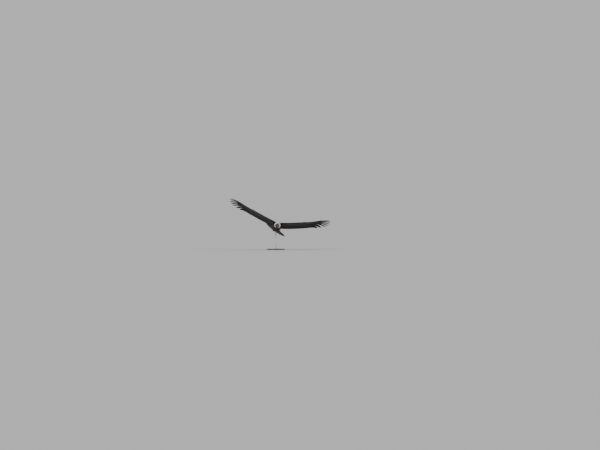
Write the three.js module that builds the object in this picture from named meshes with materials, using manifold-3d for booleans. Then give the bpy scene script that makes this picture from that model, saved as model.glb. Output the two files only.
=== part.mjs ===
// Andean condor, adult male, life size: it glides towards the viewer, banked, on a plain display stand.
// Millimetres, +Z up. The origin is the middle of the stand's underside.
// The bird faces -Y, so its left wing is on the +X side. The body's own frame has x to its left,
// y towards its tail and z up, and the whole bird is then pitched, rolled and turned on the stand.

import * as THREE from "three";
import { mergeVertices } from "three/addons/utils/BufferGeometryUtils.js";
import Module from "manifold-3d";

const wasm = await Module();
wasm.setup();

const rad = THREE.MathUtils.degToRad;

// Posture
const PITCH = rad(12);
const ROLL = rad(13.5);
const YAW = rad(5);
const BODY_HEIGHT = 640;
const BODY_FORWARD = 10;
const BELLY_DEPTH = 117;

// Wing, measured along the span from the body's middle line
const WRIST = 622;
const HAND_END = 860;
const PLATE_END = 1196;
const HALF_SPAN = 1500;
// How far each wing slants up from the body at its root and at its tip: the lower wing bends more
const DIHEDRAL = { "1": [rad(12.6), rad(25)], "-1": [rad(14.8), rad(21.2)] };
// The raised wing meets the air a little flatter
const FLATTER = { "1": 0, "-1": rad(3.2) };
const WING_HEIGHT = 32;
const CAMBER_AT = 0.35;
const EDGE = 1.1;
const SECONDARIES = 25;
const TERTIALS = 4;
const PRIMARIES = 10;
const FIRST_FINGER = 4;
const NOTCH = 11;
const INNER_SECONDARY_OUT = 190;
const OUTER_SECONDARY_OUT = 885;
const TERTIAL_PITCH = 22;
// Where the quills of the innermost and the outermost primary leave the hand
const FIRST_PRIMARY_ROOT = [660, -60];
const LAST_PRIMARY_ROOT = [860, -86];
// A finger bows forward by this share of its length, and is free and bends up or down beyond the other
const FINGER_BOW = 0.03;
const FINGER_FREE = 0.45;
const FINGER_EDGE = 0.35;

// Tail
const TAIL_FEATHERS = 12;
const TAIL_ROOT = 255;
const TAIL_ROOT_HEIGHT = 6;
const TAIL_QUILL = 24;
const TAIL_RADIUS = 410;
const TAIL_THICK = 6;
const TAIL_SPREAD = rad(52);
const TAIL_ROUNDING = 15;
const TAIL_NOTCH = 17;
const TAIL_CORNER = 60;
const TAIL_RAISE = rad(-3);
const TAIL_TWIST = rad(22);

// Head and neck
const HEAD_AT = [0, -352, -58];
const HEAD_DROOP = rad(15);
const HEAD_ROLL = rad(-9);
const EYE_AT = [20, -15, 8];
const EYE_RADIUS = 8;
const RUFF_AT = [0, -224, -24];
const RUFF_TILT = rad(12);

// Stand
const BASE_RADIUS = 250;
const BASE_HEIGHT = 26;
const BASE_EDGE = 6;
const ROD_RADIUS = 9;
const FLANGE_RADIUS = 34;
const ROD_TOP = BODY_HEIGHT - 60;
const SADDLE_RADIUS = 30;
const SADDLE_THICK = 6;

const GAP = 0.4;
// Detail smaller than this is merged away after the cuts
const FINEST = 0.25;
const SIDES = [
  ["left", 1],
  ["right", -1],
];

// A smooth curve through [at, value] points that never swings past them, and is flat outside them.
function profile(...points) {
  const last = points.length - 1;
  const rise = points.slice(1).map((p, i) => (p[1] - points[i][1]) / (p[0] - points[i][0]));
  const slopes = points.map((_, i) => {
    const before = rise[Math.max(i - 1, 0)];
    const after = rise[Math.min(i, last - 1)];
    return before * after > 0 ? (2 * before * after) / (before + after) : 0;
  });
  return (at) => {
    const x = THREE.MathUtils.clamp(at, points[0][0], points[last][0]);
    const i = Math.min(points.findLastIndex((p) => p[0] <= x), last - 1);
    const width = points[i + 1][0] - points[i][0];
    const t = (x - points[i][0]) / width;
    const [h, k] = [t * t * (3 - 2 * t), t * (1 - t)];
    return (
      points[i][1] * (1 - h) +
      points[i + 1][1] * h +
      k * width * (slopes[i] * (1 - t) - slopes[i + 1] * t)
    );
  };
}

const steps = (from, to, count) =>
  Array.from({ length: count + 1 }, (_, i) => from + ((to - from) * i) / count);

// Solids

// A closed surface through rings of points. Each ring starts at one edge and comes back to it,
// so its points pair up across it, and the two ends close in strips between the pairs.
function loft(rings) {
  const n = rings[0].length;
  const index = [];
  for (let r = 0; r + 1 < rings.length; r++)
    for (let i = 0; i < n; i++) {
      const [a, b] = [r * n + i, r * n + ((i + 1) % n)];
      index.push(a, b, b + n, a, b + n, a + n);
    }
  for (const [start, turned] of [
    [0, true],
    [(rings.length - 1) * n, false],
  ])
    for (let i = 0; i < n / 2; i++) {
      const quad = [i, i + 1, n - i - 1, (n - i) % n].map((k) => start + k);
      if (turned) quad.reverse();
      for (const face of [
        [quad[0], quad[1], quad[2]],
        [quad[0], quad[2], quad[3]],
      ])
        if (new Set(face).size === 3) index.push(...face);
    }
  const positions = rings.flat().flatMap((p) => p.toArray());
  return new THREE.BufferGeometry()
    .setAttribute("position", new THREE.Float32BufferAttribute(positions, 3))
    .setIndex(index);
}

function solid(geometry) {
  const bare = geometry.clone();
  bare.deleteAttribute("normal");
  bare.deleteAttribute("uv");
  const merged = mergeVertices(bare, 1e-4);
  const make = (triVerts) =>
    new wasm.Manifold(
      new wasm.Mesh({
        numProp: 3,
        vertProperties: merged.attributes.position.array,
        triVerts: new Uint32Array(triVerts),
      }),
    );
  const index = [...merged.index.array];
  const made = make(index);
  return made.volume() < 0 ? make(index.reverse()) : made;
}

// The largest body of a cut solid: slivers that a cut leaves behind are dropped.
const largest = (cut) => cut.decompose().reduce((a, b) => (a.volume() > b.volume() ? a : b));

const cutBy = (piece, ...tools) => largest(tools.reduce((made, tool) => made.subtract(tool), piece));

const placed = (made, matrix) => made.transform(matrix.elements);

function mesh(name, made, material) {
  const { vertProperties, triVerts } = made.simplify(FINEST).getMesh();
  const geometry = new THREE.BufferGeometry()
    .setAttribute("position", new THREE.Float32BufferAttribute(vertProperties, 3))
    .setIndex([...triVerts]);
  geometry.computeVertexNormals();
  const shown = new THREE.Mesh(geometry, material);
  shown.name = name;
  return shown;
}

// An oval ring across the y axis: half width, height above and depth below its middle.
function oval({ y, x = 0, z = 0, half, up, down, turn = 0, square = 2.2, count = 20 }) {
  return Array.from({ length: count }, (_, i) => {
    const a = (2 * Math.PI * i) / count;
    const [c, s] = [Math.cos(a), Math.sin(a)];
    const across = half * Math.sign(c) * Math.abs(c) ** (2 / square);
    const height = (s > 0 ? up : down) * Math.sign(s) * Math.abs(s) ** (2 / square);
    return new THREE.Vector3(
      x + across * Math.cos(turn) + height * Math.sin(turn),
      y,
      z - across * Math.sin(turn) + height * Math.cos(turn),
    );
  });
}

// A round limb along a smooth line of points, with a radius for each share of its length.
function limb(points, radius, { along = 8, around = 8 } = {}) {
  const line = new THREE.CatmullRomCurve3(points.map((p) => new THREE.Vector3(...p)));
  const frames = line.computeFrenetFrames(along, false);
  return solid(
    loft(
      steps(0, 1, along).map((t, k) =>
        Array.from({ length: around }, (_, i) => {
          const a = (2 * Math.PI * i) / around;
          return line
            .getPointAt(t)
            .addScaledVector(frames.normals[k], Math.cos(a) * radius(t))
            .addScaledVector(frames.binormals[k], Math.sin(a) * radius(t));
        }),
      ),
    ),
  );
}

// Trunk, from the neck's base to the ends of the tail coverts, which turn with the tail

const trunkHalf = profile(
  [-240, 14], [-215, 52], [-170, 86], [-90, 118], [20, 130], [130, 112], [220, 82],
  [300, 66], [370, 62], [408, 30],
);
const trunkUp = profile(
  [-240, 12], [-215, 46], [-160, 78], [-60, 98], [40, 97], [140, 80], [220, 60], [300, 36],
  [370, 18], [408, 5],
);
const trunkDown = profile(
  [-240, 12], [-215, 54], [-175, 84], [-100, 110], [-10, 119], [70, 114], [150, 96],
  [230, 68], [300, 42], [370, 20], [408, 5],
);
const trunkMid = profile([-240, -22], [-120, 0], [150, 0], [300, 6], [408, 4]);
const twist = profile([130, 0], [330, TAIL_TWIST]);
const trunkY = [-240, -232, -212, -180, -135, -80, -20, 40, 100, 155, 205, 255, 305, 350, 385, 408];

function trunk(grow = 0) {
  const first = trunkY[0];
  const last = trunkY.at(-1);
  return solid(
    loft(
      trunkY.map((y) =>
        oval({
          y: y === first ? y - grow : y === last ? y + grow : y,
          z: trunkMid(y),
          half: trunkHalf(y) + grow,
          up: trunkUp(y) + grow,
          down: trunkDown(y) + grow,
          turn: twist(y),
          count: 16,
        }),
      ),
    ),
  );
}

// Neck, bare and folded, from inside the ruff to the skull

const neckHalf = profile([-345, 24], [-325, 29], [-290, 33], [-250, 38], [-200, 50]);
const neckUp = profile([-345, 20], [-325, 27], [-290, 34], [-250, 40], [-200, 50]);
const neckDown = profile([-345, 22], [-325, 31], [-290, 38], [-250, 46], [-200, 62]);
const neckMid = profile([-345, -58], [-300, -48], [-250, -32], [-200, -22]);
const neckY = [-345, -325, -300, -275, -250, -225, -200];

const neck = (grow = 0) =>
  solid(
    loft(
      neckY.map((y) =>
        oval({
          y,
          z: neckMid(y),
          half: neckHalf(y) + grow,
          up: neckUp(y) + grow,
          down: neckDown(y) + grow,
          count: 12,
        }),
      ),
    ),
  );

// Ruff: a thick collar of down, open at the throat

const RUFF_OPENING = rad(28);
const RUFF_STEPS = 18;
const RUFF_LOBES = 9;
const ruffRadius = profile([0, 64], [90, 62], [152, 58]);
const ruffRadial = profile([0, 25], [90, 25], [130, 21], [152, 11]);
const ruffAxial = profile([0, 30], [90, 29], [130, 24], [152, 13]);

function ruff() {
  const reach = Math.PI - RUFF_OPENING;
  const rings = steps(-reach, reach, RUFF_STEPS).map((a) => {
    const degrees = Math.abs(THREE.MathUtils.radToDeg(a));
    const lobe = 1 + 0.035 * Math.cos(RUFF_LOBES * a);
    return Array.from({ length: 7 }, (_, i) => {
      const b = (2 * Math.PI * i) / 7;
      const out = ruffRadius(degrees) + ruffRadial(degrees) * Math.cos(b) * lobe;
      return new THREE.Vector3(
        Math.sin(a) * out,
        ruffAxial(degrees) * Math.sin(b) * lobe,
        Math.cos(a) * out,
      );
    });
  });
  const at = new THREE.Matrix4().makeTranslation(...RUFF_AT);
  at.multiply(new THREE.Matrix4().makeRotationX(RUFF_TILT));
  return placed(solid(loft(rings)), at);
}

// Head, in its own frame: x left, y back, z up, from the skull's middle

const headHalf = profile(
  [-60, 11], [-48, 15], [-32, 21], [-15, 26.5], [8, 29], [30, 26], [46, 18], [54, 7],
);
const headUp = profile(
  [-60, 15], [-48, 18], [-32, 22], [-12, 26], [10, 27], [32, 22], [46, 14], [54, 5],
);
const headDown = profile(
  [-60, 17], [-48, 20], [-32, 23], [-12, 27], [10, 30], [32, 27], [46, 19], [54, 6],
);
const headY = [-60, -48, -34, -20, -6, 8, 22, 36, 46, 54];

const head = (grow = 0) =>
  solid(
    loft(
      headY.map((y) =>
        oval({ y, half: headHalf(y) + grow, up: headUp(y) + grow, down: headDown(y) + grow, count: 12 }),
      ),
    ),
  );

const billTop = profile(
  [-109, -19], [-106, -7], [-101, 3], [-94, 10], [-84, 14.5], [-70, 16], [-50, 18],
);
const billEdge = profile([-109, -27], [-102, -25], [-95, -15], [-88, -8.5], [-70, -7], [-50, -6]);
const billHalf = profile([-109, 2], [-102, 5], [-92, 8.5], [-75, 11], [-50, 14.5]);
const billY = [-109, -106, -101, -95, -87, -76, -62, -50];

const upperBill = (grow = 0) =>
  solid(
    loft(
      billY.map((y) => {
        const middle = (billTop(y) + billEdge(y)) / 2;
        const tall = (billTop(y) - billEdge(y)) / 2 + grow;
        return oval({ y, z: middle, half: billHalf(y) + grow, up: tall, down: tall, count: 10 });
      }),
    ),
  );

const jawBottom = profile([-90, -13], [-80, -17], [-60, -21], [-40, -23]);
const jawTop = profile([-90, -9.5], [-40, -6]);
const jawHalf = profile([-90, 3.5], [-80, 7.5], [-60, 10.5], [-40, 13]);

const lowerBill = (grow = 0) =>
  solid(
    loft(
      [-90, -84, -72, -56, -40].map((y) => {
        const middle = (jawTop(y) + jawBottom(y)) / 2;
        const tall = (jawTop(y) - jawBottom(y)) / 2 + grow;
        return oval({ y, z: middle, half: jawHalf(y) + grow, up: tall, down: tall, count: 10 });
      }),
    ),
  );

const combTop = profile(
  [-72, 18], [-69, 31], [-62, 42], [-46, 50], [-24, 53], [-4, 48], [12, 37], [22, 27],
);
const combHalf = profile([-72, 4.5], [-60, 7], [-30, 7.5], [0, 6.5], [22, 3.5]);
const COMB_FOOT = 12;

const comb = () =>
  solid(
    loft(
      [-72, -68, -58, -44, -28, -12, 4, 15, 22].map((y) => {
        const tall = (combTop(y) - COMB_FOOT) / 2;
        const z = COMB_FOOT + tall;
        return oval({ y, z, half: combHalf(y), up: tall, down: tall, square: 2.6, count: 8 });
      }),
    ),
  );

const wattleBottom = profile([-40, -25], [-28, -41], [-12, -49], [6, -46], [22, -36]);
const wattleHalf = profile([-40, 3], [-20, 5.5], [22, 4]);
const WATTLE_TOP = -18;

const wattle = () =>
  solid(
    loft(
      [-40, -33, -22, -10, 4, 14, 22].map((y) => {
        const tall = (WATTLE_TOP - wattleBottom(y)) / 2;
        return oval({ y, z: WATTLE_TOP - tall, half: wattleHalf(y), up: tall, down: tall, count: 8 });
      }),
    ),
  );

// Wing: a cambered surface that the flight feathers lie on

const lead = profile(
  [0, -92], [120, -100], [330, -114], [WRIST, -138], [HAND_END, -122], [1080, -108],
  [PLATE_END, -92],
);
const trail = profile(
  [0, 280], [120, 296], [190, 318], [330, 338], [600, 358], [885, 376], [1000, 368],
  [1080, 345], [1130, 290], [1170, 180], [PLATE_END, -30],
);
const incidence = profile([100, rad(7.5)], [600, rad(7)], [1000, rad(8)], [HALF_SPAN, rad(11)]);
const camber = profile([60, 0.05], [250, 0.07], [700, 0.06], [1150, 0.035], [HALF_SPAN, 0.02]);
const wingThick = profile(
  [60, 66], [200, 54], [400, 40], [WRIST, 30], [HAND_END, 15], [1100, 4], [HALF_SPAN, 1],
);
const chordShare = profile(
  [0, 0.25], [0.04, 0.62], [0.13, 1], [0.25, 0.82], [0.42, 0.3], [0.6, 0.08], [1, 0],
);
const UPPER_SHARE = 0.6;

// The point above planform place (out, back) and this far off the wing's middle surface
function wingPoint(out, back, off, side) {
  const [root, tip] = DIHEDRAL[side];
  const bend = (tip - root) / HALF_SPAN;
  const angle = root + bend * out;
  const x = (Math.sin(angle) - Math.sin(root)) / bend;
  const z = (Math.cos(root) - Math.cos(angle)) / bend;
  const chord = Math.max(trail(Math.min(out, 1000)) - lead(out), 1);
  const c = THREE.MathUtils.clamp((back - lead(out)) / chord, 0, 1);
  const p = CAMBER_AT;
  const arch = c < p ? (2 * p * c - c * c) / (p * p) : (1 - 2 * p + 2 * p * c - c * c) / (1 - p) ** 2;
  const slant = Math.tan(incidence(out) - FLATTER[side]);
  const height = off + camber(out) * chord * arch - (back - lead(out) - p * chord) * slant;
  return new THREE.Vector3(
    side * (x - height * Math.sin(angle)),
    back,
    WING_HEIGHT + z + height * Math.cos(angle),
  );
}

function wingRing(out, rear, side) {
  const shares = [0.01, 0.09, 0.26, 0.58, 1];
  const at = (c, over) => {
    const half = wingThick(out) * chordShare(c);
    const off = over ? half * UPPER_SHARE + EDGE : -half * (1 - UPPER_SHARE) - EDGE;
    return wingPoint(out, lead(out) + c * (rear - lead(out)), off, side);
  };
  return [...shares.map((c) => at(c, true)), ...shares.toReversed().map((c) => at(c, false))];
}

// Where the feather tips of the rear edge lie along the span, from the body out
const secondaryTip = (n) =>
  THREE.MathUtils.lerp(OUTER_SECONDARY_OUT, INNER_SECONDARY_OUT, (n - 1) / (SECONDARIES - 1));
const primaryTipOut = profile([1, 930], [4, 1130], [6, 1360], [8, 1460], [9, 1490], [10, 1474]);
const primaryTipBack = profile([1, 375], [4, 348], [6, 262], [8, 108], [10, -66]);
const tipsOut = [
  ...steps(
    INNER_SECONDARY_OUT - TERTIALS * TERTIAL_PITCH,
    INNER_SECONDARY_OUT - TERTIAL_PITCH,
    TERTIALS - 1,
  ),
  ...steps(1, SECONDARIES, SECONDARIES - 1).map(secondaryTip).reverse(),
  ...steps(1, FIRST_FINGER - 1, FIRST_FINGER - 2).map(primaryTipOut),
];

// The wing's plate between two places along the span, with a notch between each two feather tips
function wingPlate(from, to, side) {
  const stations = [[from, trail(from)]];
  tipsOut.forEach((tip, i) => {
    stations.push([tip, trail(tip)]);
    if (i + 1 < tipsOut.length) {
      const between = (tip + tipsOut[i + 1]) / 2;
      stations.push([between, trail(between) - NOTCH]);
    }
  });
  for (const out of [1100, 1135, 1165, 1185]) stations.push([out, trail(out)]);
  stations.push([to, trail(to)]);
  return solid(
    loft(
      stations.filter(([out]) => out >= from && out <= to).map(([out, rear]) => wingRing(out, rear, side)),
    ),
  );
}

// An outer primary that stands free of its neighbours like a finger
const fingerWide = profile([0.4, 27], [0.8, 31], [0.93, 28], [1, 3]);
const fingerSlim = profile([0.4, 25], [0.66, 23], [0.93, 19], [1, 3]);
// How far along each finger it narrows
const fingerPart = profile([4, 0.92], [5, 0.86], [6, 0.74], [7, 0.66], [10, 0.57]);
const fingerThick = profile([0.4, 3.2], [0.7, 1.8], [1, 0.7]);
// How far the tip of each finger is lifted off the wing's surface
const fingerLift = profile([4, -38], [6, -76], [8, -82], [10, -52]);

function finger(n, side) {
  const root = new THREE.Vector2(...FIRST_PRIMARY_ROOT);
  root.lerp(new THREE.Vector2(...LAST_PRIMARY_ROOT), (n - 1) / (PRIMARIES - 1));
  const tip = new THREE.Vector2(primaryTipOut(n), primaryTipBack(n));
  const along = tip.clone().sub(root);
  const across = new THREE.Vector2(-along.y, along.x).normalize();
  const bow = root.clone().lerp(tip, 0.5).addScaledVector(across, -FINGER_BOW * along.length());
  const line = new THREE.QuadraticBezierCurve(root, bow, tip);
  return solid(
    loft(
      [FINGER_FREE, 0.62, 0.8, 0.93, 1].map((t) => {
        const lift = fingerLift(n) * ((t - FINGER_FREE) / (1 - FINGER_FREE)) ** 2;
        const at = line.getPoint(t);
        const slim = THREE.MathUtils.smoothstep(t, fingerPart(n) - 0.04, fingerPart(n) + 0.06);
        const width = THREE.MathUtils.lerp(fingerWide(t), fingerSlim(t), slim);
        const point = (w, off) => {
          const p = at.clone().addScaledVector(across, w * width);
          return wingPoint(p.x, p.y, lift + off, side);
        };
        const half = fingerThick(t);
        return [
          point(-1, FINGER_EDGE),
          point(0, half),
          point(1, FINGER_EDGE),
          point(1, -FINGER_EDGE),
          point(0, -half),
          point(-1, -FINGER_EDGE),
        ];
      }),
    ),
  );
}

const wingArm = (side) => wingPlate(70, WRIST, side);

const wingHand = (side) =>
  steps(FIRST_FINGER, PRIMARIES, PRIMARIES - FIRST_FINGER)
    .map((n) => finger(n, side))
    .reduce((made, piece) => made.add(piece), wingPlate(WRIST + GAP, PLATE_END, side));

// Tail: a wide fan of quills, its tips rounded, twisted against the roll

const tailMatrix = new THREE.Matrix4()
  .makeTranslation(0, TAIL_ROOT, TAIL_ROOT_HEIGHT)
  .multiply(new THREE.Matrix4().makeRotationX(TAIL_RAISE))
  .multiply(new THREE.Matrix4().makeRotationY(TAIL_TWIST));

function tail() {
  const pitch = (2 * TAIL_SPREAD) / (TAIL_FEATHERS - 1);
  const edge = TAIL_SPREAD + 0.45 * pitch;
  const stations = steps(-TAIL_SPREAD, TAIL_SPREAD, 2 * (TAIL_FEATHERS - 1)).map((a, i) => [
    a,
    TAIL_RADIUS - TAIL_ROUNDING * (a / TAIL_SPREAD) ** 2 - (i % 2 ? TAIL_NOTCH : 0),
  ]);
  stations.unshift([-edge, TAIL_RADIUS - TAIL_CORNER]);
  stations.push([edge, TAIL_RADIUS - TAIL_CORNER]);
  return placed(
    solid(
      loft(
        stations.map(([a, reach]) => {
          const at = (share, over) => {
            const r = THREE.MathUtils.lerp(TAIL_QUILL, reach, share);
            const thick = THREE.MathUtils.lerp(TAIL_THICK, EDGE, share ** 0.6);
            return new THREE.Vector3(r * Math.sin(a), r * Math.cos(a), over ? thick : -thick);
          };
          const shares = [0, 0.5, 1];
          return [...shares.map((s) => at(s, true)), ...shares.toReversed().map((s) => at(s, false))];
        }),
      ),
    ),
    tailMatrix,
  );
}

// Legs, drawn back under the tail

const thighHalf = profile([18, 8], [42, 32], [90, 41], [145, 35], [195, 22], [212, 14]);
const thighX = profile([18, 68], [212, 50]);
const thighZ = profile([18, -58], [100, -72], [212, -82]);

const thigh = (side, grow = 0) =>
  solid(
    loft(
      [18, 28, 48, 80, 120, 160, 195, 212].map((y) =>
        oval({
          y,
          x: side * thighX(y),
          z: thighZ(y),
          half: thighHalf(y) + grow,
          up: thighHalf(y) + grow,
          down: thighHalf(y) * 1.05 + grow,
          count: 12,
        }),
      ),
    ),
  );

const shankThick = profile([0, 11], [0.15, 10], [0.5, 7.5], [0.85, 8.5], [1, 9.5]);

const shank = (side) =>
  limb(
    [
      [side * 51, 196, -82],
      [side * 49, 250, -78],
      [side * 47, 318, -66],
    ],
    shankThick,
    { along: 5 },
  );

// Each toe from the foot's middle: how far out, back and up its end lies, and its thickness
const TOES = {
  inner: { end: [-20, 60, 2], thick: 6.2 },
  middle: { end: [-3, 96, 12], thick: 7.2 },
  outer: { end: [19, 70, 3], thick: 6 },
  hind: { end: [-12, 26, -22], thick: 5 },
};
const FOOT_AT = [46.5, 328, -64];
const CLAW_LENGTH = 19;
const CLAW_GAP = 1.6;
const SLIM = { along: 3, around: 5 };

const toePoint = (side, out, back, up) => [
  side * (FOOT_AT[0] + out),
  FOOT_AT[1] + back,
  FOOT_AT[2] + up,
];

function toe(side, { end: [out, back, up], thick }) {
  const radius = profile([0, thick * 1.15], [0.5, thick], [0.8, thick * 0.85], [1, thick * 0.6]);
  const halfway = toePoint(side, out * 0.55, back * 0.5, up * 0.5 - 5);
  return limb([toePoint(side, 0, 0, 0), halfway, toePoint(side, out, back, up)], radius, SLIM);
}

const foot = (side) =>
  Object.values(TOES)
    .map((t) => toe(side, t))
    .reduce((made, piece) => made.add(piece));

function claw(side, { end: [out, back, up], thick }) {
  const reach = Math.hypot(out, back, up);
  const on = (length, drop) => {
    const k = 1 + length / reach;
    return toePoint(side, out * k, back * k, up * k - drop);
  };
  const radius = profile([0, thick * 0.62], [0.6, thick * 0.4], [1, 0.6]);
  return limb([on(CLAW_GAP, 0), on(CLAW_LENGTH * 0.55, 1), on(CLAW_LENGTH, 8)], radius, SLIM);
}

// Stand

const upright = new THREE.Matrix4().makeRotationX(Math.PI / 2);

// A solid turned round the upright axis from [radius, height] points
const turned = (...points) =>
  placed(solid(new THREE.LatheGeometry(points.map((p) => new THREE.Vector2(...p)), 24)), upright);

const standBase = () =>
  turned(
    [0, 0],
    [BASE_RADIUS, 0],
    [BASE_RADIUS, BASE_HEIGHT - BASE_EDGE],
    [BASE_RADIUS - BASE_EDGE, BASE_HEIGHT],
    [0, BASE_HEIGHT],
  );

const column = (radius, from, to) => turned([0, from], [radius, from], [radius, to], [0, to]);

const standRod = () =>
  turned(
    [0, BASE_HEIGHT + GAP],
    [FLANGE_RADIUS, BASE_HEIGHT + GAP],
    [FLANGE_RADIUS, BASE_HEIGHT + 6],
    [ROD_RADIUS + 4, BASE_HEIGHT + 10],
    [ROD_RADIUS, BASE_HEIGHT + 16],
    [ROD_RADIUS, ROD_TOP],
    [0, ROD_TOP],
  );

// Finishes

const finish = (color, roughness, metalness = 0) =>
  new THREE.MeshStandardMaterial({ color, roughness, metalness });

const plumage = finish(0x17161a, 0.6);
const down = finish(0xe9e6df, 0.9);
const bareSkin = finish(0x4a3232, 0.55);
const fleshyComb = finish(0x3a2426, 0.5);
const horn = finish(0xcfc3a6, 0.35);
const eyeball = finish(0x3b1d10, 0.08);
const scales = finish(0x6d6a68, 0.6);
const clawHorn = finish(0x1b1917, 0.4);
const blackWood = finish(0x2a211c, 0.45);
const steel = finish(0x8d9094, 0.3, 0.9);

// The bird

const bird = new THREE.Group();
bird.rotation.set(-PITCH, ROLL, YAW, "ZXY");
bird.position.set(BELLY_DEPTH * Math.sin(ROLL), -BODY_FORWARD, BODY_HEIGHT);
bird.updateMatrixWorld(true);

const headMatrix = new THREE.Matrix4()
  .makeTranslation(...HEAD_AT)
  .multiply(new THREE.Matrix4().makeRotationX(HEAD_DROOP))
  .multiply(new THREE.Matrix4().makeRotationY(HEAD_ROLL));
const onHead = (made) => placed(made, headMatrix);

const trunkCut = trunk(GAP);
const neckCut = neck(GAP);
const headCut = onHead(head(GAP));
const billCut = onHead(upperBill(GAP));
const jawCut = onHead(lowerBill(GAP));
const eyes = SIDES.map(([name, side]) => {
  const [x, y, z] = EYE_AT;
  const ball = (radius) => solid(new THREE.SphereGeometry(radius, 10, 7).translate(side * x, y, z));
  return { name, ball: onHead(ball(EYE_RADIUS)), socket: onHead(ball(EYE_RADIUS + GAP)) };
});

const neckMade = cutBy(neck(), trunkCut);
const headMade = cutBy(onHead(head()), neckCut, ...eyes.map((e) => e.socket));
bird.add(
  mesh("trunk", trunk(), plumage),
  mesh("neck", neckMade, bareSkin),
  mesh("head", headMade, bareSkin),
  mesh("bill_upper", cutBy(onHead(upperBill()), headCut), horn),
  mesh("bill_lower", cutBy(onHead(lowerBill()), headCut, billCut), horn),
  mesh("comb", cutBy(onHead(comb()), headCut, billCut), fleshyComb),
  mesh("wattle", cutBy(onHead(wattle()), headCut, neckCut, jawCut), bareSkin),
  mesh("ruff", cutBy(ruff(), trunkCut, neckCut), down),
  mesh("tail", cutBy(tail(), trunkCut), plumage),
);
for (const { name, ball } of eyes) bird.add(mesh(`eye_${name}`, ball, eyeball));

for (const [name, side] of SIDES) {
  const thighCut = thigh(side, GAP);
  const shankMade = shank(side);
  const footMade = foot(side);
  bird.add(
    mesh(`wing_${name}_arm`, cutBy(wingArm(side), trunkCut), plumage),
    mesh(`wing_${name}_hand`, wingHand(side), plumage),
    mesh(`thigh_${name}`, cutBy(thigh(side), trunkCut), plumage),
    mesh(`shank_${name}`, cutBy(shankMade, thighCut, footMade), scales),
    mesh(`foot_${name}`, footMade, scales),
  );
  for (const [toeName, measures] of Object.entries(TOES))
    bird.add(mesh(`claw_${name}_${toeName}`, claw(side, measures), clawHorn));
}

// The stand carries the bird by a saddle that follows its belly

const belly = (grow) => placed(trunk(grow), bird.matrixWorld);
const saddle = column(SADDLE_RADIUS, BODY_HEIGHT / 2, BODY_HEIGHT)
  .intersect(belly(SADDLE_THICK + GAP))
  .subtract(belly(GAP));

const condor = new THREE.Group();
condor.name = "andean_condor";
condor.add(
  bird,
  mesh("stand_base", standBase(), blackWood),
  mesh("stand_rod", cutBy(standRod(), belly(SADDLE_THICK + 2 * GAP)), steel),
  mesh("stand_saddle", largest(saddle), steel),
);

export default condor;
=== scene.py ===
# Andean condor, adult male, life size, gliding on a plain display stand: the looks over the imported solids.
# The bird's own shapes are in millimetres in its body frame: x to its left, y towards its tail, z up.
# Everything is placed by BIRD, which pitches, rolls and turns that frame on the stand, into metres.

import math
from functools import partial

import bpy
import numpy as np
from mathutils import Matrix, Vector, noise


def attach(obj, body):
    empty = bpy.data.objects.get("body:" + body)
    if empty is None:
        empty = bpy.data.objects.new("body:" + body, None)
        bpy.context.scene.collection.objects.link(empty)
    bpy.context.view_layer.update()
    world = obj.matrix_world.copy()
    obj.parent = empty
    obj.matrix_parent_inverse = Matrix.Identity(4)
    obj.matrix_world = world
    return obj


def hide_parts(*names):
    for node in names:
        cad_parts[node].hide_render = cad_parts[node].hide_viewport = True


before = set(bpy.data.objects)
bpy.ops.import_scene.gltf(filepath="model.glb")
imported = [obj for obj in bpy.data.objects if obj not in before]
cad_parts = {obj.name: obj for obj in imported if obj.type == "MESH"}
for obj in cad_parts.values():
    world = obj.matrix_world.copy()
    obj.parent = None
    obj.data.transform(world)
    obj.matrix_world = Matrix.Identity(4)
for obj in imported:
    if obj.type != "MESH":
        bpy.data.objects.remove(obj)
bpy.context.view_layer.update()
rng = np.random.default_rng(11)
rad = math.radians

# Posture
PITCH = rad(12)
ROLL = rad(13.5)
YAW = rad(5)
BODY_HEIGHT = 640
BODY_FORWARD = 10
BELLY_DEPTH = 117

# Wing, measured along the span from the body's middle line. Side 1 is the left wing, -1 the right
SIDES = (("left", 1), ("right", -1))
WRIST = 622
HAND_END = 860
HALF_SPAN = 1500
# How steeply each wing rises at its root and at its tip, and how much less it is pitched than the other
DIHEDRAL = {1: (rad(12.6), rad(25)), -1: (rad(14.8), rad(21.2))}
FLATTER = {1: 0.0, -1: rad(3.2)}
WING_HEIGHT = 32
CAMBER_AT = 0.35
UPPER_SHARE = 0.6
# Outside this place the chord is no longer followed: the fingers stand free there
CHORD_END = 1000
SECONDARIES = 25
TERTIALS = 4
PRIMARIES = 10
FIRST_FINGER = 4
INNER_SECONDARY_OUT = 190
OUTER_SECONDARY_OUT = 885
SECONDARY_ROOT_INNER = 185
SECONDARY_ROOT_OUTER = 625
TERTIAL_PITCH = 22
FIRST_PRIMARY_ROOT = (660, -60)
LAST_PRIMARY_ROOT = (860, -86)
FEATHER_BOW = 0.03

# Tail
TAIL_FEATHERS = 12
TAIL_ROOT = 255
TAIL_ROOT_HEIGHT = 6
TAIL_QUILL = 24
TAIL_RADIUS = 410
TAIL_THICK = 6
TAIL_SPREAD = rad(52)
TAIL_ROUNDING = 15
TAIL_RAISE = rad(-3)
TAIL_TWIST = rad(22)

# Head and neck
HEAD_AT = (0, -352, -58)
HEAD_DROOP = rad(15)
HEAD_ROLL = rad(-9)
EYE_AT = (20, -15, 8)
EYE_RADIUS = 8
RUFF_AT = (0, -224, -24)
RUFF_TILT = rad(12)
RUFF_OPENING = rad(28)

# Stand
BASE_RADIUS = 250
BASE_HEIGHT = 26
ROD_RADIUS = 9

# How far the skin lies under the coat's outer surface
BODY_COAT = 9
THIGH_COAT = 5
WING_COAT = 4


# Curves and places


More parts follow.
